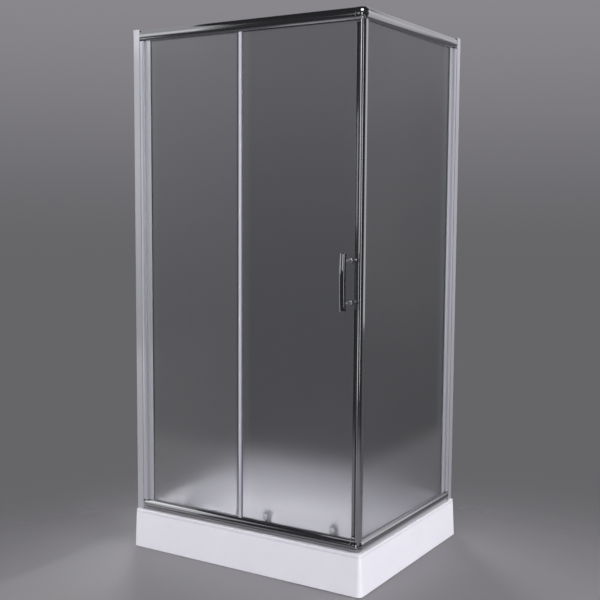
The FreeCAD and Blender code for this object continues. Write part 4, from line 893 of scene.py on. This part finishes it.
    def _under_rows(self) -> list[Ring]:
        """Rows of the sheet's underside, from the drain out to the lip.

        Returns:
            The rows.
        """
        wall, bend = self.wall, self.wall_bend
        floor = self.top - self.depth
        ledge = self.top - wall
        foot = self.rim + (self.depth + wall) * self.slope - wall
        return [
            self._seat(self.seat_side + 2 * wall, floor - self.seat_drop - self.seat_floor, self.seat_corner + wall),
            self._ring(foot + 2 * wall, floor - wall, self._basin_corners(foot)),
            self._ring(foot, floor, self._basin_corners(foot)),
            self._ring(self.rim - wall, ledge, self._basin_corners(self.rim - wall)),
            self._ring(wall + bend, ledge, self._edge_corners(wall)),
            self._ring(wall, ledge - bend, self._edge_corners(wall)),
        ]


@dataclass
class Drain:
    """Waste under the tray and its lift-out cover."""

    edge: float = 0.7 * MM

    def build(self) -> None:
        """Round the edges of the waste and dress it."""
        Bench.refine(CHROME, "enclosure", self.edge, "drain_flange")
        Bench.refine(SATIN_KNOB, "drain_cover", self.edge, "drain_cover")
        Bench.refine(WHITE_PLASTIC, "enclosure", self.edge, "trap_body")
        dress(RUBBER, "drain_seal")
        dress(ZINC, "trap_screw")


@dataclass
class Undercarriage:
    """Steel frame on levelling feet under the tray."""

    tube_round: float = 1.5 * MM
    plate_round: float = 0.6 * MM

    def build(self) -> None:
        """Round the edges of the frame and its feet, and dress them."""
        tubes = ("frame_tube_left", "frame_tube_centre", "frame_tube_right")
        Bench.refine(ZINC, "enclosure", self.tube_round, *tubes)
        Bench.refine(ZINC, "enclosure", self.plate_round, "apron_brackets", "foot_nuts")
        Bench.refine(BLACK_PLASTIC, "enclosure", self.tube_round, "foot_pads")
        dress(ZINC, "foot_rods")


@dataclass
class Framework:
    """Wall channels, stiles, rails, corner pieces and the post."""

    face_front: float = -392 * MM
    face_side: float = 492 * MM
    rail_height: float = 40 * MM
    rail_bulge: float = 11 * MM
    top_foot: float = 1957 * MM
    bottom_head: float = 190 * MM
    corner_radius: float = 24 * MM
    corner_steps: int = 14
    sleeve_arm: float = 15 * MM
    sleeve_lift: float = 0.6 * MM
    sleeve_root: float = 0.5 * MM
    sleeve_steps: int = 9
    seam_depth: float = 0.7 * MM
    seam_turn: float = 1.1
    edge: float = 0.5 * MM
    cap_radius: float = 6.5 * MM
    cap_height: float = 5 * MM
    cap_dome: tuple[Pair, ...] = ((0.0, 1.0), (0.5, 14 / 15), (11 / 13, 0.8), (1.0, 0.5), (1.0, 0.0), (0.0, 0.0))
    cap_steps: int = 28
    cap_levels: Point = (340 * MM, 1073.5 * MM, 1807 * MM)

    def build(self) -> None:
        """Make the framework's pieces."""
        still = ("enclosure", self.edge)
        uprights = ("wall_channel_left", "wall_channel_back", "stile_left", "stile_back")
        Bench.refine(SATIN_UPRIGHT, *still, *uprights)
        Bench.refine(POLISHED_LEVEL, *still, "rail_front_top", "rail_side_top")
        # The bottom rails carry a painted dark reflection along their lower edge.
        Bench.refine(POLISHED_SILL_PAINTED, *still, "rail_front_bottom", "rail_side_bottom")
        Bench.refine(POLISHED_UPRIGHT, *still, "corner_post")
        Bench.refine(CHROME, *still, "rail_end_connectors")
        self.corner("corner_top", self.top_foot, 1, CHROME)
        # The bottom corner piece carries the same painted dark reflection along its lower edge.
        self.corner("corner_bottom", self.bottom_head, -1, CHROME_SILL_PAINTED)
        dress(ZINC, "stile_screws")
        self.screw_caps()

    def corner(self, node: str, foot: float, rise: int, finish: Finish) -> None:
        """Make a corner piece: the knuckle on its neck, and the sleeve over the rail ends.

        Args:
            node: The solid that it stands for.
            foot: Height of the rails' glass side.
            rise: Whether the rails rise or drop from there, as 1 or -1.
            finish: Its finish.
        """
        knuckle = Bench.copied(node)
        Bench.soften(knuckle, self.edge)
        sleeve = Bench.skin(node + "_sleeve", self._sleeve_rows(foot, rise))
        piece = Bench.join(node + "_finished", [knuckle, sleeve])
        Bench.finish(piece, finish, "enclosure", node)

    def _sleeve_rows(self, foot: float, rise: int) -> list[Ring]:
        """Sections of a sleeve from its front arm round the corner to its side arm.

        Args:
            foot: Height of the rails' glass side.
            rise: Whether the rails rise or drop from there.

        Returns:
            The rows of the sleeve's skin.
        """
        x = self.face_side - self.corner_radius
        y = self.face_front + self.corner_radius
        arm, lift = self.sleeve_arm, self.sleeve_lift
        steps = ((arm, 0.0), (arm - lift / 2, lift / 2), (arm - lift * 2, lift), (0.0, lift))
        sections = [(out, self._sleeve_section(proud)) for out, proud in steps]
        front = [[(x - out, self.face_front + u, foot + rise * v) for u, v in section] for out, section in sections]
        bend = [
            [(x + across * (self.corner_radius - u), y + deep * (self.corner_radius - u), foot + rise * v)
             for u, v in self._sleeve_section(lift)]
            for across, deep in arc((0.0, 0.0), 1.0, -90, 0, self.corner_steps)[1:-1]
        ]
        side = [[(self.face_side - u, y + out, foot + rise * v) for u, v in section] for out, section in sections]
        return front + bend + side[::-1]

    def _sleeve_section(self, lift: float) -> list[Pair]:
        """Thin section over the round face of a rail, with a seam at half its height.

        Args:
            lift: How far it stands proud of the rail.

        Returns:
            The corners as distance in from the frame's face and height on the rail.
        """
        half = self.rail_height / 2
        radius = (half**2 + self.rail_bulge**2) / (2 * self.rail_bulge)
        reach = math.degrees(math.asin(half / radius))
        seam = self.seam_turn
        upper = [reach - (reach - 2 * seam) * step / self.sleeve_steps for step in range(self.sleeve_steps + 1)]
        turns = [(turn, 0.0) for turn in upper]
        turns += [(seam / 2, self.seam_depth), (-seam / 2, self.seam_depth)]
        turns += [(-turn, 0.0) for turn in reversed(upper)]
        outline = [(turn, radius + lift - depth) for turn, depth in turns]
        outline += [(turn, radius - self.sleeve_root) for turn, _ in reversed(turns)]
        bends = [(math.radians(turn), size) for turn, size in outline]
        return [(radius - size * math.cos(bend), half + size * math.sin(bend)) for bend, size in bends]

    def screw_caps(self) -> None:
        """Turn the snap caps on the inside of both channels."""
        low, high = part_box("stile_screw_caps")
        left = (low.x + self.cap_radius, low.y)
        back = (high.x, high.y - self.cap_radius)
        profile = dome(self.cap_dome, self.cap_radius, self.cap_height)
        inward = dome(self.cap_dome, self.cap_radius, -self.cap_height)
        sides = ((profile, left, Axis.Y), (inward, back, Axis.X))
        caps = [
            Bench.turned("screw_caps", shape, [(*spot, level) for level in self.cap_levels], axis, self.cap_steps)
            for shape, spot, axis in sides
        ]
        piece = Bench.join("screw_caps", caps)
        Bench.finish(piece, WHITE_PLASTIC, "enclosure", "stile_screw_caps")


@dataclass
class Glazing:
    """Fixed panes with their gaskets, the meeting seal and the post's magnet."""

    seal_round: float = 0.8 * MM
    painted_shade_width: float = 6.5 * MM
    strip_round: float = 0.6 * MM

    def build(self) -> None:
        """Dress the panes and round the strips that hold them."""
        # The fixed pane is a paler, painted-light copy of the frosted glass, and each pane carries a painted glow
        # along an upright edge and above the tray.
        dress(GLASS_FIXED, "fixed_pane")
        dress(GLASS_SIDE, "side_pane")
        dress(GASKET, "fixed_pane_gaskets", "side_pane_gaskets")
        # The meeting seal gets a painted highlight down its middle and painted shade along both edges.
        low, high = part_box("meeting_seal")
        painted_flank_shade = Margin(Axis.X, low.x, high.x, self.painted_shade_width, SEAL_PAINTED_SHADE)
        seal = replace(SEAL_PAINTED_HIGHLIGHT, margins=(painted_flank_shade,))
        Bench.refine(seal, "enclosure", self.seal_round, "meeting_seal")
        Bench.refine(MAGNET, "enclosure", self.strip_round, "post_magnet")


@dataclass
class SlidingDoor:
    """Door pane with the strips on its edges."""

    profile_round: float = 0.7 * MM
    seal_round: float = 0.6 * MM

    def build(self) -> None:
        """Dress the pane and round its strips."""
        # The door pane carries a painted glow along its overlapping edge and above the tray.
        dress(GLASS_DOOR, "door_pane")
        Bench.refine(POLISHED_UPRIGHT, "door", self.profile_round, "door_closing_profile")
        Bench.refine(MAGNET, "door", self.seal_round, "door_magnet")
        Bench.refine(SEAL, "door", self.seal_round, "door_rear_seal")
        dress(RUBBER, "door_stops")


@dataclass
class Handle:
    """Bowed grip on two stand-offs, with round nuts on the inside of the door."""

    width: float = 22 * MM
    thickness: float = 11 * MM
    bow: float = 5 * MM
    crown: float = 1.6 * MM
    front_round: float = 4 * MM
    front_steps: int = 6
    back_round: float = 3 * MM
    back_steps: int = 5
    face_steps: int = 6
    least_round: float = 0.1 * MM
    end_round: float = 3 * MM
    end_steps: int = 5
    rows: int = 24
    post_radius: float = 5 * MM
    rosette_radius: float = 8 * MM
    foot_flare: tuple[Pair, ...] = ((5 * MM, -3.3 * MM), (5.4 * MM, -2.94 * MM), (7.52 * MM, -0.9 * MM))
    foot_edge: float = -0.6 * MM
    seat: float = 1 * MM
    nut_radius: float = 10 * MM
    nut_height: float = 9 * MM
    nut_dome: tuple[Pair, ...] = (
        (0.0, 0.0), (1.0, 0.0), (1.0, 0.6), (0.94, 0.8), (0.8, 0.94), (0.5, 1.0), (0.0, 1.0),
    )
    turn_steps: int = 36

    def __post_init__(self) -> None:
        """Read the handle's place from the frame."""
        self.low, self.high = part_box("handle_bar")
        self.middle = (self.low + self.high) / 2
        low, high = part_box("handle_posts")
        self.glass = high.y
        self.levels = (low.z + self.rosette_radius, high.z - self.rosette_radius)
        self.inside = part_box("handle_inner_caps")[0].y

    def build(self) -> None:
        """Make the grip, its stand-offs and its nuts."""
        self.grip()
        self.stand_offs()
        self.nuts()
        dress(ZINC, "handle_bolts")

    def _face(self, height: float) -> float:
        """Place of the grip's front at a height."""
        share = (height - self.middle.z) / (self.high.z - self.middle.z)
        return self.low.y + self.bow * share**2

    def _places(self, depth: float) -> list[Point]:
        """Places of the two stand-offs at a depth."""
        return [(self.middle.x, depth, level) for level in self.levels]

    def _section(self, inset: float) -> list[Pair]:
        """Section of the grip, as distance sideways and distance back from its front.

        Args:
            inset: How much smaller it is all round.

        Returns:
            The corners in order.
        """
        half = self.width / 2 - inset
        front = max(self.front_round - inset, self.least_round)
        back = max(self.back_round - inset, self.least_round)
        rear = self.thickness - inset
        flat = half - front
        points = arc((half - back, rear - back), back, 0, 90, self.back_steps)
        points += arc((back - half, rear - back), back, 90, 180, self.back_steps)
        points += arc((front - half, inset + front), front, 180, 270, self.front_steps)
        points += [(flat * (2 * step / self.face_steps - 1), inset) for step in range(1, self.face_steps)]
        points += arc((half - front, inset + front), front, 270, 360, self.front_steps)
        return [(x, y + self.crown * (x / half) ** 2 * (1 - y / self.thickness)) for x, y in points]

    def grip(self) -> None:
        """Skin the grip along its bow, with rounded ends."""
        length = self.high.z - self.low.z
        run = length - 2 * self.end_round
        turns = [math.radians(90 * step / self.end_steps) for step in range(self.end_steps + 1)]
        ends = [(self.end_round * (1 - math.cos(turn)), self.end_round * (1 - math.sin(turn))) for turn in turns]
        stations = list(ends)
        stations += [(self.end_round + run * step / self.rows, 0.0) for step in range(1, self.rows)]
        stations += [(length - out, inset) for out, inset in reversed(ends)]
        rows = []
        for out, inset in stations:
            height = self.low.z + out
            front = self._face(height)
            rows.append([(self.middle.x + x, front + y, height) for x, y in self._section(inset)])
        piece = Bench.skin("handle_grip", rows)
        Bench.finish(piece, CHROME, "door", "handle_bar", angle=ROUNDED)

    def stand_offs(self) -> None:
        """Turn the stand-offs with a flared foot on the glass."""
        reach = self._face(self.levels[0]) + self.thickness - self.seat - self.glass
        stem = [(0.0, reach), (self.post_radius, reach)]
        foot = [(self.rosette_radius, self.foot_edge), (self.rosette_radius, 0.0), (0.0, 0.0)]
        profile = [*stem, *self.foot_flare, *foot]
        piece = Bench.turned("handle_stand_offs", profile, self._places(self.glass), Axis.Y, self.turn_steps)
        Bench.finish(piece, SATIN_KNOB, "door", "handle_posts")

    def nuts(self) -> None:
        """Turn the round nuts on the inside."""
        profile = dome(self.nut_dome, self.nut_radius, self.nut_height)
        piece = Bench.turned("handle_nuts", profile, self._places(self.inside), Axis.Y, self.turn_steps)
        Bench.finish(piece, SATIN_CHROME, "door", "handle_inner_caps")


@dataclass
class Rollers:
    """Wheels above and below the door with their bolts, caps and sprung releases."""

    cap_radius: float = 11 * MM
    cap_height: float = 8 * MM
    cap_dome: tuple[Pair, ...] = (
        (0.0, 1.0), (0.35, 0.985), (0.62, 0.92), (0.82, 0.78), (0.95, 0.55), (1.0, 0.3), (1.0, 0.0),
    )
    cap_steps: int = 36
    bolt_radius: float = 4 * MM
    nut_radius: float = 9 * MM
    nut_height: float = 9 * MM
    nut_dome: tuple[Pair, ...] = (
        (0.0, 0.0), (1.0, 0.0), (1.0, 0.55), (0.93, 0.78), (0.76, 0.93), (0.45, 1.0), (0.0, 1.0),
    )
    nut_steps: int = 32
    edge: float = 0.5 * MM
    block_edge: float = 1.2 * MM
    clearance: float = 0.6 * MM
    press: float = 6 * MM

    def build(self) -> None:
        """Make the rollers' pieces."""
        self.bolts()
        self.nuts()
        dress(ZINC, "upper_axles")
        Bench.refine(NYLON, "door", self.edge, "upper_bushes")
        self.blocks()
        for side in Side:
            for wheel in ("upper_wheel_" + side.value, "lower_wheel_" + side.value):
                Bench.refine(NYLON, wheel, self.edge, wheel)
            plunger = "lower_plunger_" + side.value
            Bench.refine(GREY_PLASTIC, plunger, self.edge, plunger)
            self.spring(side)

    def spring(self, side: Side) -> None:
        """Copy the spring of a release, dress it and give it a mesh of its own.

        Args:
            side: Which release.
        """
        node = "lower_spring_" + side.value
        piece = Bench.copied(node)
        Bench.finish(piece, SPRING, "door", node)
        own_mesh(piece)

    def blocks(self) -> None:
        """Round the blocks of the lower rollers, which stand just clear of the glass."""
        piece = Bench.copied("lower_housings")
        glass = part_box("lower_housings")[0].y
        Bench.shift(piece, lambda spot: spot.y < glass + self.clearance / 2, (0.0, self.clearance, 0.0))
        Bench.soften(piece, self.block_edge)
        Bench.finish(piece, GREY_PLASTIC, "door", "lower_housings")

    @staticmethod
    def _pair(node: str, radius: float, depth: float) -> list[Point]:
        """Places of the two round pieces of one solid.

        Args:
            node: The solid.
            radius: Radius of its widest part.
            depth: Place of its pieces across the door.

        Returns:
            The two places.
        """
        low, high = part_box(node)
        level = (low.z + high.z) / 2
        return [(low.x + radius, depth, level), (high.x - radius, depth, level)]

    def bolts(self) -> None:
        """Turn the lower bolts with their domed caps on the outside."""
        low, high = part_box("lower_bolts")
        glass = low.y + self.cap_height
        end = high.y - glass
        shank = [(self.bolt_radius, 0.0), (self.bolt_radius, end), (0.0, end)]
        profile = dome(self.cap_dome, self.cap_radius, -self.cap_height) + shank
        places = self._pair("lower_bolts", self.cap_radius, glass)
        piece = Bench.turned("roller_caps", profile, places, Axis.Y, self.cap_steps)
        Bench.finish(piece, SATIN_KNOB, "door", "lower_bolts")

    def nuts(self) -> None:
        """Turn the round nuts of the upper axles."""
        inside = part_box("upper_cap_nuts")[0].y
        profile = dome(self.nut_dome, self.nut_radius, self.nut_height)
        places = self._pair("upper_cap_nuts", self.nut_radius, inside)
        piece = Bench.turned("axle_nuts", profile, places, Axis.Y, self.nut_steps)
        Bench.finish(piece, CHROME, "door", "upper_cap_nuts")


@dataclass
class Softbox:
    """One soft lamp: its place, aim, size, power and spread, and whether metal shows it."""

    name: str
    place: Point
    target: Point
    size: Pair
    power: float
    mirrored: bool = True
    spread: float = 180.0

    def build(self) -> None:
        """Hang the lamp."""
        lamp = bpy.data.lights.new(self.name, "AREA")
        lamp.shape = "RECTANGLE"
        lamp.size, lamp.size_y = self.size
        lamp.energy = self.power
        lamp.spread = math.radians(self.spread)
        holder = bpy.data.objects.new(self.name, lamp)
        holder.location = self.place
        holder.rotation_euler = (Vector(self.target) - Vector(self.place)).to_track_quat("-Z", "Y").to_euler()
        holder.visible_glossy = self.mirrored
        holder.visible_transmission = False
        bpy.context.collection.objects.link(holder)


@dataclass
class Studio:
    """Plain grey floor and room, soft lamps and the camera."""

    eye: Point = (2.0759, -3.3537, 1.3512)
    yaw: float = 31.700
    pitch: float = 5.484
    roll: float = -0.345
    lens: float = 60.21
    sensor: float = 36.0
    floor_centre: Pair = (0.55, -0.95)
    floor_radius: float = 4.2
    floor_sides: int = 96
    floor_inset: float = 1.4
    floor_fade: Pair = (0.9, 2.6)
    floor_colour: Colour = srgb(128, 126, 130)
    floor_wear: float = 0.94
    floor_cloud: float = 3.0
    floor_gloss: float = 0.6
    room_low: Colour = srgb(102, 101, 104)
    room_high: Colour = srgb(138, 136, 141)
    room_rise: Pair = (-0.06, 0.22)
    room_above: Colour = srgb(46, 46, 48)
    above_rise: Pair = (0.3, 0.6)
    room_behind: Colour = srgb(50, 50, 52)
    behind_turn: Pair = (-0.45, 0.35)

    def build(self) -> None:
        """Set the floor, room, lamps and camera."""
        self.floor()
        self.world()
        for lamp in self.lamps():
            lamp.build()
        self.camera()
        bpy.context.scene.view_settings.view_transform = "Standard"

    def lamps(self) -> list[Softbox]:
        """Soft lamps round the enclosure, and dim panels that the metal shows."""
        middle = (0.0, -0.2, 0.7)
        return [
            Softbox("lamp_front", (0.5, -4.2, 2.4), middle, (3.2, 2.0), 138.0, mirrored=False),
            Softbox("lamp_side", (4.4, 0.2, 2.0), middle, (2.8, 2.6), 200.0, mirrored=False),
            Softbox("lamp_top", (0.34, -0.4, 4.6), (-0.16, 0.1, 0.1), (0.5, 0.4), 2.6, mirrored=False, spread=24.0),
            Softbox("lamp_back", (-2.3, 2.6, 2.6), (0.0, 0.0, 0.1), (1.4, 1.4), 9.5, mirrored=False, spread=44.0),
            Softbox("lamp_above", (0.9, -1.5, 3.5), (0.48, -0.38, 1.98), (1.2, 1.2), 11.0),
            Softbox("panel_camera", (1.7, -4.0, 1.3), (0.48, -0.38, 1.0), (0.9, 2.6), 9.0),
            Softbox("panel_near_high", (-0.64, -0.45, 2.25), (0.0, -0.45, 2.25), (1.1, 0.6), 0.85),
            Softbox("panel_near_low", (-0.64, -0.45, 0.38), (0.0, -0.45, 0.38), (1.1, 0.75), 0.6),
            Softbox("panel_left", (-2.7, -0.9, 1.4), (0.2, -0.4, 1.1), (3.0, 2.8), 18.0),
            Softbox("panel_front_left", (-3.3, -3.2, 2.3), (-0.3, -0.4, 1.9), (1.9, 2.6), 6.0),
            Softbox("panel_front", (-1.15, -4.6, 1.62), (0.3, -0.4, 1.62), (1.2, 0.9), 1.6),
            Softbox("panel_back", (0.6, 3.9, 3.2), (0.5, 0.0, 1.95), (3.4, 2.0), 8.5),
            Softbox("panel_back_right", (2.9, 3.8, 2.2), (0.5, 0.0, 1.2), (1.2, 3.9), 6.4),
        ]

    def floor(self) -> None:
        """Lay a disc that fades into the room."""
        Bench.clear()
        bpy.ops.mesh.primitive_circle_add(
            vertices=self.floor_sides, radius=self.floor_radius, fill_type="NGON", location=(*self.floor_centre, 0.0),
        )
        disc = Bench.named("studio_floor")
        with Bench.editing(disc):
            bpy.ops.mesh.select_all(action="SELECT")
            bpy.ops.mesh.inset(thickness=self.floor_inset, depth=0.0)
        material = bpy.data.materials.new("studio_floor")
        material.use_nodes = True
        nodes = material.node_tree.nodes
        graph = Graph(material.node_tree)
        spot = graph.add("TexCoord").outputs["Object"]
        cloud = graph.add("TexNoise", {"Vector": spot, "Scale": self.floor_cloud, "Detail": 4.0}).outputs["Fac"]
        worn = (*(share * self.floor_wear for share in self.floor_colour[:3]), 1.0)
        shader = nodes["Principled BSDF"]
        graph.feed(shader.inputs["Base Color"], graph.blend(cloud, self.floor_colour, worn))
        graph.feed(shader.inputs["Roughness"], self.floor_gloss)
        reach = graph.add("VectorMath", {0: spot}, operation="LENGTH").outputs["Value"]
        clear = graph.add("BsdfTransparent").outputs["BSDF"]
        faded = {0: graph.ramp(reach, self.floor_fade), 1: shader.outputs["BSDF"], 2: clear}
        graph.feed(nodes["Material Output"].inputs["Surface"], graph.add("MixShader", faded).outputs["Shader"])
        disc.data.materials.append(material)

    def world(self) -> None:
        """Fill the room with plain grey, paler up the walls, dark above and, in reflections, behind the camera."""
        world = bpy.data.worlds.new("studio_room")
        bpy.context.scene.world = world
        world.use_nodes = True
        graph = Graph(world.node_tree)
        spot = graph.add("TexCoord").outputs["Generated"]
        height = graph.add("SeparateXYZ", {"Vector": spot}).outputs["Z"]
        wall = graph.blend(graph.ramp(height, self.room_rise), self.room_low, self.room_high)
        shell = graph.blend(graph.ramp(height, self.above_rise), wall, self.room_above)
        turn = math.radians(self.yaw)
        towards = (math.sin(turn), -math.cos(turn), 0.0)
        near = graph.add("VectorMath", {0: spot, 1: towards}, operation="DOT_PRODUCT").outputs["Value"]
        path = graph.add("LightPath").outputs
        seen = graph.math("ADD", path["Is Camera Ray"], path["Is Transmission Ray"], clamp=True)
        hidden = graph.math("SUBTRACT", 1.0, seen)
        dark = graph.math("MULTIPLY", graph.ramp(near, self.behind_turn), hidden)
        room = graph.blend(dark, shell, self.room_behind)
        graph.feed(world.node_tree.nodes["Background"].inputs["Color"], room)

    def camera(self) -> None:
        """Stand the camera where the photograph was taken."""
        yaw, pitch, roll = (math.radians(turn) for turn in (self.yaw, self.pitch, self.roll))
        ahead = Vector((-math.sin(yaw) * math.cos(pitch), math.cos(yaw) * math.cos(pitch), -math.sin(pitch)))
        right = Vector((math.cos(yaw), math.sin(yaw), 0.0))
        turned = Matrix((right, right.cross(ahead), -ahead)).transposed() @ Matrix.Rotation(-roll, 3, "Z")
        optics = bpy.data.cameras.new("camera")
        optics.lens = self.lens
        optics.sensor_width = self.sensor
        holder = bpy.data.objects.new("camera", optics)
        holder.matrix_world = Matrix.Translation(self.eye) @ turned.to_4x4()
        bpy.context.collection.objects.link(holder)
        bpy.context.scene.camera = holder


def main() -> None:
    """Build the enclosure and its studio."""
    logging.basicConfig(level=logging.INFO, format="%(name)s: %(message)s")
    enclosure = (Tray(), Drain(), Undercarriage(), Framework(), Glazing(), SlidingDoor(), Handle(), Rollers())
    for part in (*enclosure, Studio()):
        part.build()


if __name__ == "__main__":
    main()
